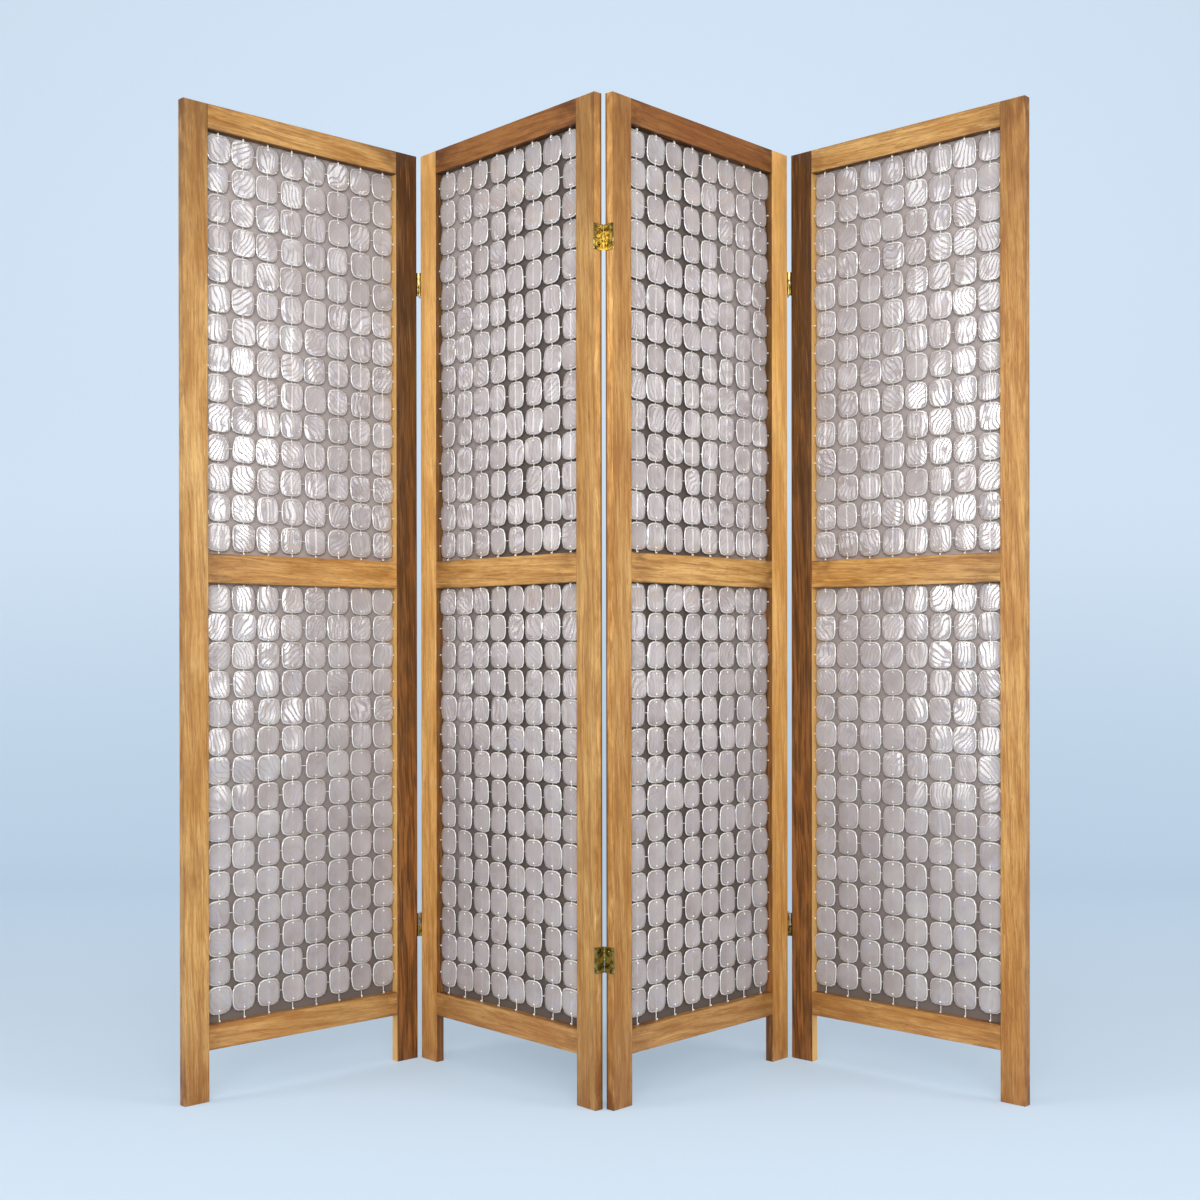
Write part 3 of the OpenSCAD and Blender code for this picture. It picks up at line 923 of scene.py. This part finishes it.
@dataclass
class Timber:
    """The five timbers of a panel's frame.

    darkened_front is how dark the fronts of the outer panels' inner stiles are.
    shaded_dark is how dark the painted shade is on the inner sides of the inner panels'
    outer stiles, and under_rail_painted_shade on the under sides of the top rails.
    fold_side_light is painted light: how many times lighter the side is that a stile
    turns to the middle fold, at its foot, and how much that grows to its head.
    """

    place: Placement
    finish: Material
    seed: int = 100
    flat_angle: float = 1.0
    arris: float = 0.0009
    pith_across: Span = (0.03, 0.11)
    pith_deep: Span = (0.02, 0.09)
    figure_length: float = 9.0
    warmth: float = 0.25
    darkened_front: float = 0.94
    shaded_dark: float = 0.9
    under_rail_painted_shade: float = 0.7
    head_lip: float = 0.004
    fold_side_light: Span = (1.1, 0.4)
    lean: float = 0.03

    def build(self) -> list[Object]:
        """Makes, dresses and fits every timber of the panel."""
        chance = random.Random(self.seed + self.place.panel)
        parts = ("left_stile", "right_stile", "top_rail", "middle_rail", "bottom_rail")
        return [self.board(part, chance) for part in parts]

    def board(self, part: str, chance: random.Random) -> Object:
        """Makes one timber with eased arrises from its CAD solid.

        Args:
            part: Name of the timber in its panel.
            chance: Source of the board's own figure.

        Returns:
            The finished piece.
        """
        node = self.place.nodes[self.place.node(part)]
        shape = bmesh.new()
        shape.from_mesh(node.data)
        shape.transform(self.place.matrix.inverted() @ node.matrix_world)
        bmesh.ops.remove_doubles(shape, verts=shape.verts, dist=WELD)
        flat = math.radians(self.flat_angle)
        bmesh.ops.dissolve_limit(
            shape, angle_limit=flat, verts=shape.verts, edges=shape.edges
        )
        bmesh.ops.bevel(
            shape,
            geom=self.arrises(shape, "rail" in part),
            offset=self.arris,
            offset_type="OFFSET",
            segments=2,
            profile=0.5,
            affect="EDGES",
            clamp_overlap=True,
        )
        bmesh.ops.recalc_face_normals(shape, faces=shape.faces)
        mesh = bpy.data.meshes.new(self.place.node(part) + "_timber")
        shape.to_mesh(mesh)
        shape.free()
        self.mark(mesh, part, chance)
        mesh.materials.append(self.finish)
        return self.place.fit(part, "timber", "wood", mesh)

    def arrises(self, shape: bmesh.types.BMesh, rail: bool) -> list[bmesh.types.BMEdge]:
        """Finds the long outer edges of a timber.

        Args:
            shape: The timber in the panel's frame.
            rail: Whether it is a rail, whose tenons stand out at its ends.

        Returns:
            The edges to ease.
        """
        points = [vertex.co for vertex in shape.verts]
        limits = [
            (min(point[axis] for point in points), max(point[axis] for point in points))
            for axis in range(3)
        ]
        if rail:
            limits[0] = self.place.sizes.between

        def sides(point: Vector) -> set[tuple[int, int]]:
            return {
                (axis, side)
                for axis in range(3)
                for side in (0, 1)
                if abs(point[axis] - limits[axis][side]) < ON_EDGE
            }

        return [
            edge
            for edge in shape.edges
            if len(sides(edge.verts[0].co) & sides(edge.verts[1].co)) >= 2
        ]

    def mark(self, mesh: Mesh, part: str, chance: random.Random) -> None:
        """Stores where the grain runs and how the board differs from the others.

        Args:
            mesh: The timber in the panel's frame.
            part: Name of the timber in its panel.
            chance: Source of the board's own figure.
        """
        pith_across = chance.choice((-1, 1)) * chance.uniform(*self.pith_across)
        pith_deep = chance.uniform(*self.pith_deep)
        along = chance.uniform(0, self.figure_length)
        warm = chance.uniform(0.0, self.warmth)
        sizes, panel = self.place.sizes, self.place.panel
        rail, left = "rail" in part, part == "left_stile"
        head = part == "top_rail"
        if head and self.place.inner:
            warm = 1.0
        # The outer panels' inner stiles are darker on their fronts.
        darkened = (panel, part) in ((1, "right_stile"), (4, "left_stile"))
        # The inner panels' outer stiles get painted shade on their inner sides.
        shaded = (panel, part) in ((2, "left_stile"), (3, "right_stile"))
        # The stiles at the middle fold get painted light on the side facing the fold and painted
        # shade at its back edge.
        fold = (panel, part) in ((2, "right_stile"), (3, "left_stile"))
        inner = sizes.between[0 if left else 1]
        outer = 0.0 if left else sizes.width
        ends, sides = self.reach(part)
        low, high = self.tones(part)
        grain, board, run, span, tones = [], [], [], [], []
        for vertex in mesh.vertices:
            x, depth, z = vertex.co
            across, up = (z, x) if rail else (x, z)
            front = depth < ON_FACE
            back = depth > sizes.depth - ON_FACE
            inside = not front and not rail and abs(x - inner) < ON_FACE
            share = (up - ends[0]) / (ends[1] - ends[0])
            # Painted light on the side that a stile turns to the middle fold, growing to its head.
            facing = fold and abs(x - outer) < ON_FACE
            gain = self.fold_side_light[0] + self.fold_side_light[1] * share if facing else 1.0
            tones.append(1.0 if back else (low + (high - low) * share) * gain)
            run.append((up - ends[0], ends[1] - up, 0.0 if rail else 1.0))
            span.append((across - sides[0], sides[1] - across, depth))
            heart = across + pith_across + self.lean * up
            grain.append((heart, depth + pith_deep, up + along))
            dark = 0.0
            if darkened and front:
                dark = self.darkened_front
            # Painted shade on the inner side.
            elif shaded and inside:
                dark = self.shaded_dark
            # Painted shade on the under side of the top rail.
            elif head and not front and not back and z < sides[0] + self.head_lip:
                dark = self.under_rail_painted_shade
            # The last part is painted light on the inner side of a darkened stile.
            board.append((dark, warm, 1.0 if darkened and inside else 0.0))
        for name, values in (("grain", grain), ("board", board), ("run", run), ("span", span)):
            Workshop.vectors(mesh, name, values)
        Workshop.numbers(mesh, "tone", "FLOAT", tones)
        Workshop.numbers(mesh, "fold", "FLOAT", [float(fold)] * len(grain))

    def reach(self, part: str) -> tuple[Span, Span]:
        """Finds where a timber's ends and long edges lie.

        Args:
            part: Name of the timber in its panel.

        Returns:
            Both ends along the grain, and both edges across it.
        """
        sizes = self.place.sizes
        if part == "left_stile":
            return (0.0, sizes.height), (0.0, sizes.stile)
        if part == "right_stile":
            return (0.0, sizes.height), (sizes.between[1], sizes.width)
        if part == "top_rail":
            return sizes.between, (sizes.height - sizes.top_rail, sizes.height)
        if part == "middle_rail":
            return sizes.between, (sizes.middle_level - sizes.middle_rail, sizes.middle_level)
        return sizes.between, (sizes.leg, sizes.leg + sizes.bottom_rail)

    def tones(self, part: str) -> Span:
        """How light a timber is at its low or left end, and at its other end."""
        mirrored = self.place.panel > 2
        sides = ("near", "far") if mirrored else ("far", "near")
        side = dict(zip(("left_stile", "right_stile"), sides)).get(part, part)
        low, high = (INNER_TONES if self.place.inner else OUTER_TONES)[side]
        return (high, low) if mirrored and "rail" in part else (low, high)


@dataclass
class ShellKit:
    """The loose shell shapes that the fields are hung with."""

    sizes: Sizes
    seed: int = 41
    shapes: int = 7
    outline_points: int = 20
    rim_width: float = 0.0027
    half_size: float = 0.024
    rim_level: float = 0.2
    middle_ring: float = 0.5
    squareness: Span = (3.3, 4.3)
    waist: float = 0.035
    lean: float = 0.02
    ripple: float = 0.008
    cup: Span = (-0.0007, 0.0013)
    cup_level: float = 0.6
    cup_limit: float = 1.3
    twist: float = 0.0005
    back_scale: float = 0.97

    def build(self) -> bpy.types.Collection:
        """Makes the shapes, in a collection that isn't linked to the scene."""
        kit = bpy.data.collections.new("shell_kit")
        chance = random.Random(self.seed)
        for index in range(self.shapes):
            shape = bpy.data.objects.new(f"shell_shape_{index}", self.shape(index, chance))
            kit.objects.link(shape)
        return kit

    def outline(self, chance: random.Random) -> list[Vector]:
        """Draws one shell's rounded outline, each a little different.

        Args:
            chance: Source of the differences.

        Returns:
            Points in the shell's plane, anticlockwise as seen from the front.
        """
        half_width = self.sizes.shell_width / 2
        half_height = self.sizes.shell_height / 2
        power = chance.uniform(*self.squareness)
        waist = chance.uniform(-self.waist, self.waist)
        lean = chance.uniform(-self.lean, self.lean)
        phase = chance.uniform(0, math.tau)
        points = []
        for index in range(self.outline_points):
            angle = math.tau * (index + 0.5) / self.outline_points
            cosine, sine = math.cos(angle), math.sin(angle)
            reach = (abs(cosine) ** power + abs(sine) ** power) ** (-1 / power)
            reach *= 1 + self.ripple * math.sin(3 * angle + phase)
            z = half_height * reach * sine
            x = half_width * reach * cosine * (1 + waist * z / half_height)
            points.append(Vector((x + lean * z, 0.0, z)))
        return points

    def shape(self, index: int, chance: random.Random) -> Mesh:
        """Makes one slightly cupped shell with a soft rim.

        Args:
            index: Number of the shape.
            chance: Source of the differences.

        Returns:
            The shell's mesh, front to -Y, centred on the origin.
        """
        rim = self.outline(chance)
        half = self.sizes.shell_thickness / 2
        cup = chance.uniform(*self.cup)
        twist = chance.uniform(-self.twist, self.twist)
        count = self.outline_points
        points: list[Vector] = []
        marks: list[Triple] = []

        def put(x: float, y: float, z: float, edge: float) -> None:
            u, v = x / (self.sizes.shell_width / 2), z / (self.sizes.shell_height / 2)
            bow = cup * (min(u * u + v * v, self.cup_limit) - self.cup_level) + twist * u * v
            points.append(Vector((x, y + bow, z)))
            marks.append((u, v, edge))

        def ring(scale: float, level: float, edge: float) -> None:
            for point in rim:
                put(point.x * scale, level, point.z * scale, edge)

        ring(1.0, half * self.rim_level, 1.0)
        ring(1 - self.rim_width / self.half_size, -half, 0.5)
        ring(self.middle_ring, -half, 0.0)
        put(0.0, -half, 0.0, 0.0)
        centre = len(points) - 1
        back = len(points)
        ring(self.back_scale, half, 0.0)
        faces: list[list[int]] = []
        for step in range(count):
            after = (step + 1) % count
            for outer in (0, count):
                inner = outer + count
                faces.append([outer + step, outer + after, inner + after, inner + step])
            faces.append([2 * count + step, 2 * count + after, centre])
            faces.append([back + step, back + after, after, step])
        faces.append([back + step for step in reversed(range(count))])
        mesh = Workshop.mesh(f"shell_shape_{index}", points, faces)
        Workshop.vectors(mesh, "shell_place", marks)
        return mesh


class HangingRule(Rule):
    """Hangs shells of a kit on points, each with its own lean and size."""

    LARGEST = 1.03
    SIZE_SEED = 7.0
    LOOK_SEED = 19.0

    def __init__(self) -> None:
        """Builds the tree."""
        kinds = {"Kit": "Collection", "Lean": "Float", "Spread": "Float"}
        super().__init__("hang_shells", kinds)
        given, seed = self.given, self.given("Seed")
        inputs = {"Collection": given("Kit"), "Separate Children": True, "Reset Children": True}
        kit = self.out("GeometryNodeCollectionInfo", inputs)
        lean = self.luck((-1.0, 0.0, -1.0), (1.0, 0.0, 1.0), seed).scale(given("Lean"))
        smallest = self.out("ShaderNodeMath", {0: 1.0, 1: given("Spread")}, operation="SUBTRACT")
        inputs = {2: smallest, 3: self.LARGEST, 8: seed + self.SIZE_SEED}
        size = self.out("FunctionNodeRandomValue", inputs, 1, data_type="FLOAT")
        hung = self.out(
            "GeometryNodeInstanceOnPoints",
            {
                "Points": given("Seeds"),
                "Instance": kit,
                "Pick Instance": True,
                "Instance Index": self.stored("kind", "INT"),
                "Rotation": self.stored("turn").shift(lean),
                "Scale": self.out("ShaderNodeCombineXYZ", {0: size, 1: 1.0, 2: size}),
            },
        )
        look = self.luck((0.0, 0.0, 0.0), (1.0, 1.0, 1.0), seed + self.LOOK_SEED)
        marked = self.out(
            "GeometryNodeStoreNamedAttribute",
            {"Geometry": hung, "Name": "shell_chance", "Value": look},
            data_type="FLOAT_VECTOR",
            domain="INSTANCE",
        )
        self.close(marked)


@dataclass
class ShellField:
    """The shells of one opening.

    sway and swing are the CAD model's own numbers, in degrees for a field, a row
    and a column, and a first angle.
    """

    place: Placement
    opening: Opening
    kit: bpy.types.Collection
    rule: NodeTree
    finish: Material
    seed: int = 500
    sway: tuple[int, ...] = (97, 151, 223, 0)
    swing: tuple[int, ...] = (61, 211, 137, 40)
    lean: float = 0.06
    spread: float = 0.02
    drift: float = 0.0007
    drift_turn: float = 40.0

    def build(self) -> Object:
        """Hangs the shells where the CAD has them, as one piece."""
        sizes = self.place.sizes
        field = self.place.panel + (4 if self.opening is Opening.LOWER else 0)
        chance = random.Random(self.seed + field)
        points, turns, kinds = [], [], []

        def wave(numbers: tuple[int, ...], row: int, column: int) -> float:
            places = (field, row, column, 1)
            return math.sin(math.radians(sum(a * b for a, b in zip(numbers, places))))

        for row, level in enumerate(sizes.rows(self.opening)):
            for column in range(sizes.columns):
                x = sizes.column(column) + sizes.shell_shift * wave(self.sway, row, column)
                drift = chance.uniform(-1, 1) * self.drift
                points.append((x + drift, sizes.shell_plane, level))
                tip = math.radians(sizes.shell_turn) * wave(self.swing, row, column)
                turns.append((0.0, self.drift_turn * drift - tip, 0.0))
                kinds.append(chance.randrange(len(self.kit.objects)))
        seeds = Workshop.mesh("shell_points", points, [])
        Workshop.vectors(seeds, "turn", turns)
        Workshop.numbers(seeds, "kind", "INT", kinds)
        inputs = {
            "Kit": self.kit,
            "Lean": self.lean,
            "Spread": self.spread,
            "Seed": field * 13,
            "Finish": self.finish,
        }
        part = f"{self.opening.value}_shells"
        mesh = Workshop.grow(self.place.node(part) + "_nacre", seeds, self.rule, inputs)
        return self.place.fit(part, "nacre", "shell", mesh)


class ThreadRule(Rule):
    """Turns edges into threads and marked points into knots."""

    def __init__(self) -> None:
        """Builds the tree."""
        super().__init__("knot_threads", {"Thread radius": "Float", "Knot radius": "Float"})
        given = self.given
        lines = self.out("GeometryNodeMeshToCurve", {"Mesh": given("Seeds")})
        inputs = {"Resolution": 6, "Radius": given("Thread radius")}
        ring = self.out("GeometryNodeCurvePrimitiveCircle", inputs)
        inputs = {"Curve": lines, "Profile Curve": ring, "Fill Caps": True}
        tubes = self.out("GeometryNodeCurveToMesh", inputs)
        inputs = {"Segments": 8, "Rings": 5, "Radius": given("Knot radius")}
        bead = self.out("GeometryNodeMeshUVSphere", inputs)
        knots = self.out(
            "GeometryNodeInstanceOnPoints",
            {
                "Points": given("Seeds"),
                "Selection": self.stored("knotted", "BOOLEAN"),
                "Instance": bead,
                "Rotation": self.luck((0.0, -0.5, 0.0), (0.0, 0.5, 0.0), given("Seed")),
                "Scale": self.stored("knot_size"),
            },
        )
        join = self.add("GeometryNodeJoinGeometry")
        for part in (tubes, knots):
            self.tree.links.new(part.socket, join.inputs[0])
        self.close(Wire(self, join.outputs[0]))


@dataclass
class ThreadWork:
    """Hanging threads, cross threads and knots of one panel.

    A tag is the looped end of a hanging thread: its level from the rail, and its
    height in knots. A stub is the end of a cross thread on the stile.
    """

    place: Placement
    rule: NodeTree
    finish: Material
    seed: int = 900
    thread_radius: float = 0.00065
    knot_radius: float = 0.0015
    hanging_depth: float = 0.01125
    cross_depth: float = 0.01185
    stretches: int = 12
    waver: float = 0.00015
    proud: float = 0.0002
    tag_proud: float = 0.0008
    top_tag: Span = (-0.0033, 2.1)
    bottom_tag: Span = (0.0024, 1.1)
    tag_size: Span = (0.9, 0.8)
    stub_inset: float = 0.0012
    stub_size: Triple = (1.2, 0.9, 0.9)
    knot_sizes: Span = (1.05, 1.4)
    knot_depth: float = 0.6
    knot_height: float = 0.95
    knot_drift: float = 0.0003

    def build(self) -> Object:
        """Makes the panel's threads with their knots, as one piece."""
        sizes = self.place.sizes
        chance = random.Random(self.seed + self.place.panel)
        points: list[Triple] = []
        edges: list[tuple[int, int]] = []
        scales: list[Triple] = []
        bare = (0.0, 0.0, 0.0)

        def put(x: float, y: float, z: float, scale: Triple = bare) -> int:
            points.append((x, y, z))
            scales.append(scale)
            return len(points) - 1

        left, right = sizes.between
        front = sizes.shell_plane - sizes.shell_thickness / 2 - self.proud
        reach = sizes.shell_height / 2 - sizes.hole_inset
        for opening in Opening:
            bottom, top = sizes.limits(opening)
            for column in range(sizes.columns):
                x = sizes.column(column)
                line = []
                for step in range(self.stretches + 1):
                    z = bottom + (top - bottom) * step / self.stretches
                    line.append(put(x + chance.uniform(-1, 1) * self.waver, self.hanging_depth, z))
                edges += list(zip(line, line[1:]))
                for rail, (drop, tall) in ((top, self.top_tag), (bottom, self.bottom_tag)):
                    put(x, front - self.tag_proud, rail + drop, (*self.tag_size, tall))
            for level in sizes.rows(opening):
                edges.append(tuple(put(x, self.cross_depth, level) for x in (left, right)))
                for x in (left + self.stub_inset, right - self.stub_inset):
                    put(x, front, level, self.stub_size)
                for column in range(sizes.columns):
                    for side in (-1, 1):
                        size = chance.uniform(*self.knot_sizes)
                        x = sizes.column(column) + chance.uniform(-1, 1) * self.knot_drift
                        scale = (size, self.knot_depth, size * self.knot_height)
                        put(x, front - self.proud, level + side * reach, scale)
        seeds = bpy.data.meshes.new("thread_points")
        seeds.from_pydata(points, edges, [])
        Workshop.vectors(seeds, "knot_size", scales)
        Workshop.numbers(seeds, "knotted", "BOOLEAN", [scale != bare for scale in scales])
        inputs = {
            "Thread radius": self.thread_radius,
            "Knot radius": self.knot_radius,
            "Seed": self.place.panel,
            "Finish": self.finish,
        }
        mesh = Workshop.grow(self.place.node("threads") + "_knotted", seeds, self.rule, inputs)
        return self.place.fit("threads", "knotted", "thread", mesh)


@dataclass
class BackingCloth:
    """The cloth stretched behind a panel's openings.

    painted_shade_from and painted_shade_over say where an inner panel's cloth begins to darken
    towards the middle fold, and over what share of the width. low_painted_shade is how dark
    painted_shade_from and painted_shade_over say where an inner panel's cloth begins to
    take painted shade towards the middle fold, and over what share of the width.
    low_painted_shade is how dark the painted shade above the floor is, the level where
    it ends and the height that it takes. A ripple is its share of the slack, and
    radians per metre across and up.
    """

    place: Placement
    finish: Material
    seed: int = 700
    across: int = 36
    along: int = 120
    slack: float = 0.0012
    slack_edge: float = 0.03
    painted_shade_from: float = 0.15
    painted_shade_over: float = 0.45
    low_painted_shade: Triple = (0.62, 1.05, 0.9)
    even: float = 0.5
    ripples: tuple[Triple, ...] = ((0.22, 9, 5), (0.16, 31, -7))
    quilting: Triple = (0.12, 23, 17)

    def build(self) -> Object:
        """Makes the cloth, a little slack inside the openings, as one piece."""
        sizes = self.place.sizes
        left = sizes.stile - sizes.cloth_lap
        low = sizes.leg + sizes.bottom_rail - sizes.cloth_lap
        width = sizes.width - 2 * left
        tall = sizes.height - sizes.top_rail + sizes.cloth_lap - low
        front = sizes.depth + sizes.cloth_gap
        chance = random.Random(self.seed + self.place.panel)
        phases = [chance.uniform(0, math.tau) for _ in range(4)]
        points: list[Triple] = []
        for layer in (0.0, sizes.cloth_thickness):
            for j in range(self.along + 1):
                for i in range(self.across + 1):
                    x = left + width * i / self.across
                    z = low + tall * j / self.along
                    points.append((x, front + layer - self.dip(x, z, phases), z))
        mesh = Workshop.mesh(
            self.place.node("backing_cloth") + "_stretched", points, self.faces()
        )
        layer = mesh.uv_layers.new(name="weave")
        spots = [points[loop.vertex_index] for loop in mesh.loops]
        layer.data.foreach_set("uv", [part for spot in spots for part in (spot[0], spot[2])])
        facing = len(points) // 2
        # Painted shade on the cloth's front layer only.
        shades = [
            (self.painted_shade(x, z) if index < facing else 0.0, 0.0, 0.0)
            for index, (x, _, z) in enumerate(points)
        ]
        Workshop.vectors(mesh, "painted_shade", shades)
        mesh.shade_smooth()
        mesh.materials.append(self.finish)
        piece = self.place.fit("backing_cloth", "stretched", "cloth", mesh)
        [self.place.node(part) for part in ("left_stile", "right_stile", "top_rail")]
        return piece

    def faces(self) -> list[list[int]]:
        """Joins the points of the front and back layer, and the four edges."""
        row = self.across + 1
        sheet = row * (self.along + 1)
        faces: list[list[int]] = []
        for j in range(self.along):
            for i in range(self.across):
                a = j * row + i
                faces.append([a, a + 1, a + row + 1, a + row])
                faces.append([sheet + a, sheet + a + row, sheet + a + row + 1, sheet + a + 1])
        for i in range(self.across):
            faces.append([i + 1, i, sheet + i, sheet + i + 1])
            a = self.along * row + i
            faces.append([a, a + 1, sheet + a + 1, sheet + a])
        for j in range(self.along):
            a, b = j * row, (j + 1) * row
            faces.append([a, b, sheet + b, sheet + a])
            a, b = a + self.across, b + self.across
            faces.append([b, a, sheet + a, sheet + b])
        return faces

    def painted_shade(self, x: float, z: float) -> float:
        """How dark the cloth is at a place on the panel, 0 to 1.

        Args:
            x: Place across the panel.
            z: Level.

        Returns:
            The painted shade, which rises to the middle of the screen on the inner
            panels, and to the floor on all.
        """
        depth, level, over = self.low_painted_shade
        low = depth * min(1.0, max(0.0, (level - z) / over))
        if not self.place.inner:
            return low
        share = x / self.place.sizes.width
        if self.place.panel == 3:
            share = 1 - share
        return min(1.0, max(0.0, (share - self.painted_shade_from) / self.painted_shade_over) + low)

    def dip(self, x: float, z: float, phases: Sequence[float]) -> float:
        """How far the cloth leans into an opening at a place on the panel.

        Args:
            x: Place across the panel.
            z: Level.
            phases: Four angles that make each cloth different.

        Returns:
            The distance, 0 on the frame.
        """
        left, right = self.place.sizes.between
        share = 0.0
        for opening in Opening:
            bottom, top = self.place.sizes.limits(opening)
            inset = [min(x - left, right - x), min(z - bottom, top - z)]
            if min(inset) > 0:
                share = math.prod(min(one / self.slack_edge, 1.0) for one in inset)
        wave = self.even
        for (height, across, up), phase in zip(self.ripples, phases):
            wave += height * math.sin(across * x + up * z + phase)
        height, across, up = self.quilting
        wave += height * math.sin(up * z + phases[2]) * math.sin(across * x + phases[3])
        return self.slack * share * wave


@dataclass
class Hinges:
    """Leaves, screws and pins of all the hinges, which keep their CAD shapes."""

    nodes: dict[str, Object]
    finish: Material
    screw_finish: Material

    def dress(self) -> int:
        """Gives brass to every hinge node, a darker one to the screws, and counts them."""
        count = 0
        for name, node in self.nodes.items():
            if "hinge" in name or name.startswith("fold_"):
                finish = self.screw_finish if "screws" in name else self.finish
                if not node.material_slots:
                    node.data.materials.append(finish)
                for slot in node.material_slots:
                    slot.material = finish
                count += 1
        return count


@dataclass(frozen=True)
class SoftBox:
    """A lamp with a soft face: its place, what it faces, its size and its watts."""

    name: str
    place: Triple
    target: Triple
    size: Span
    power: float


@dataclass
class Studio:
    """Paper floor and backdrop, lamps and the camera.

    paper_flat lists the Y places of the lines across the flat paper, and the paper
    bends up from the last. The angles of the camera are in degrees.
    """

    paper: Material
    lens: float = 48.0
    sensor: float = 36.0
    sight: float = 60.0
    camera_place: Triple = (0.002993, -2.934638, 0.792356)
    camera_turn: Triple = (90 - 0.1431, 0.0748, 0.2079)
    camera_rise: float = 0.04473
    bend_radius: float = 2.0
    bend_steps: int = 16
    paper_flat: tuple[float, ...] = (-9.0, -3.0, 0.0, 2.4)
    paper_top: float = 7.0
    paper_side: float = 9.0
    air_strength: float = 0.4
    air: Colour = (244, 248, 255)
    distance: Colour = (207, 225, 242)

    def build(self) -> None:
        """Makes the whole studio."""
        self.sweep()
        for box in self.boxes():
            self.lamp(box)
        self.sky()
        self.camera()

    def boxes(self) -> list[SoftBox]:
        """Lists the lamps: three on each side, one in front and one above."""
        boxes = []
        for side in (-1, 1):
            aim = (-0.6 * side, -0.05, 1.1)
            for name, level, size, power in (
                ("side", 1.46, (0.85, 0.95), 12.5),
                ("high", 2.4, (0.75, 0.8), 3.5),
                ("low", 0.66, (0.75, 0.56), 3.5),
            ):
                place = (2.5 * side, -1.12, level)
                boxes.append(SoftBox(f"{name}_box_{side}", place, aim, size, power))
        boxes.append(SoftBox("front_box", (0.0, -5.0, 1.7), (0.0, 0.0, 0.8), (3.4, 2.2), 200.0))
        boxes.append(SoftBox("top_box", (0.0, -0.8, 4.0), (0.0, 0.0, 0.0), (4.5, 3.0), 45.0))
        return boxes

    def sweep(self) -> None:
        """Makes the paper, which runs from the floor up into the wall."""
        radius, bend = self.bend_radius, self.paper_flat[-1]
        profile = [(y, 0.0) for y in self.paper_flat]
        for step in range(1, self.bend_steps + 1):
            angle = math.pi / 2 * step / self.bend_steps
            profile.append((bend + radius * math.sin(angle), radius - radius * math.cos(angle)))
        profile.append((bend + radius, self.paper_top))
        sides = (-self.paper_side, self.paper_side)
        points = [(x, y, z) for y, z in profile for x in sides]
        faces = [[2 * i, 2 * i + 1, 2 * i + 3, 2 * i + 2] for i in range(len(profile) - 1)]
        mesh = Workshop.mesh("paper_sweep", points, faces)
        mesh.shade_smooth()
        mesh.materials.append(self.paper)
        Workshop.piece("paper_sweep", mesh)

    def lamp(self, box: SoftBox) -> None:
        """Hangs one soft box."""
        data = bpy.data.lights.new(box.name, "AREA")
        data.shape = "RECTANGLE"
        data.size, data.size_y = box.size
        data.energy = box.power
        lamp = bpy.data.objects.new(box.name, data)
        aim = Vector(box.target) - Vector(box.place)
        turn = aim.to_track_quat("-Z", "Y").to_matrix().to_4x4()
        lamp.matrix_world = Matrix.Translation(box.place) @ turn
        bpy.context.scene.collection.objects.link(lamp)

    def sky(self) -> None:
        """Lights the whole studio softly from all round."""
        world = bpy.data.worlds.new("studio_air")
        world.use_nodes = True
        bpy.context.scene.world = world
        draw = NodeSketch(world.node_tree)
        air = {"Color": linear(self.air), "Strength": self.air_strength}
        distance = {"Color": linear(self.distance), "Strength": 1.0}
        both = draw.out(
            "ShaderNodeMixShader",
            {
                0: draw.out("ShaderNodeLightPath", pick="Is Camera Ray"),
                1: draw.out("ShaderNodeBackground", air),
                2: draw.out("ShaderNodeBackground", distance),
            },
        )
        draw.add("ShaderNodeOutputWorld", {0: both})

    def camera(self) -> None:
        """Stands the camera where the photograph was taken from."""
        data = bpy.data.cameras.new("camera")
        data.lens = self.lens
        data.sensor_width = self.sensor
        data.shift_y = self.camera_rise
        data.clip_end = self.sight
        camera = bpy.data.objects.new("camera", data)
        camera.location = self.camera_place
        camera.rotation_euler = [math.radians(angle) for angle in self.camera_turn]
        bpy.context.scene.collection.objects.link(camera)
        bpy.context.scene.camera = camera


def main() -> None:
    """Builds the screen's looks on its frame, then the studio."""
    logging.basicConfig(level=logging.INFO, format="%(name)s: %(message)s")
    bpy.context.scene.view_settings.view_transform = "Standard"
    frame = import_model()
    nodes = frame["nodes"]
    Studio(StudioPaper().material()).build()
    wood = HoneyWood().material()
    nacre = Nacre().material()
    thread = PaleThread().material()
    cloth = MauveCloth().material()
    sizes = Sizes()
    kit = ShellKit(sizes).build()
    hanging = HangingRule().tree
    knotting = ThreadRule().tree
    for panel in (1, 2, 3, 4):
        place = Placement(panel, sizes, nodes)
        pieces = Timber(place, wood).build()
        for opening in Opening:
            pieces.append(ShellField(place, opening, kit, hanging, nacre).build())
        pieces.append(ThreadWork(place, knotting, thread).build())
        pieces.append(BackingCloth(place, cloth).build())
        for piece in pieces:
            LOG.info("%s: %d faces", piece.name, len(piece.data.polygons))
    # The screws get a darker brass.
    old_brass = RolledBrass("old_brass", (150, 128, 74), (92, 74, 38), (32, 24, 14), 0.9)
    hinges = Hinges(nodes, RolledBrass().material(), old_brass.material())
    LOG.info("%d hinge nodes dressed", hinges.dress())


if __name__ == "__main__":
    main()
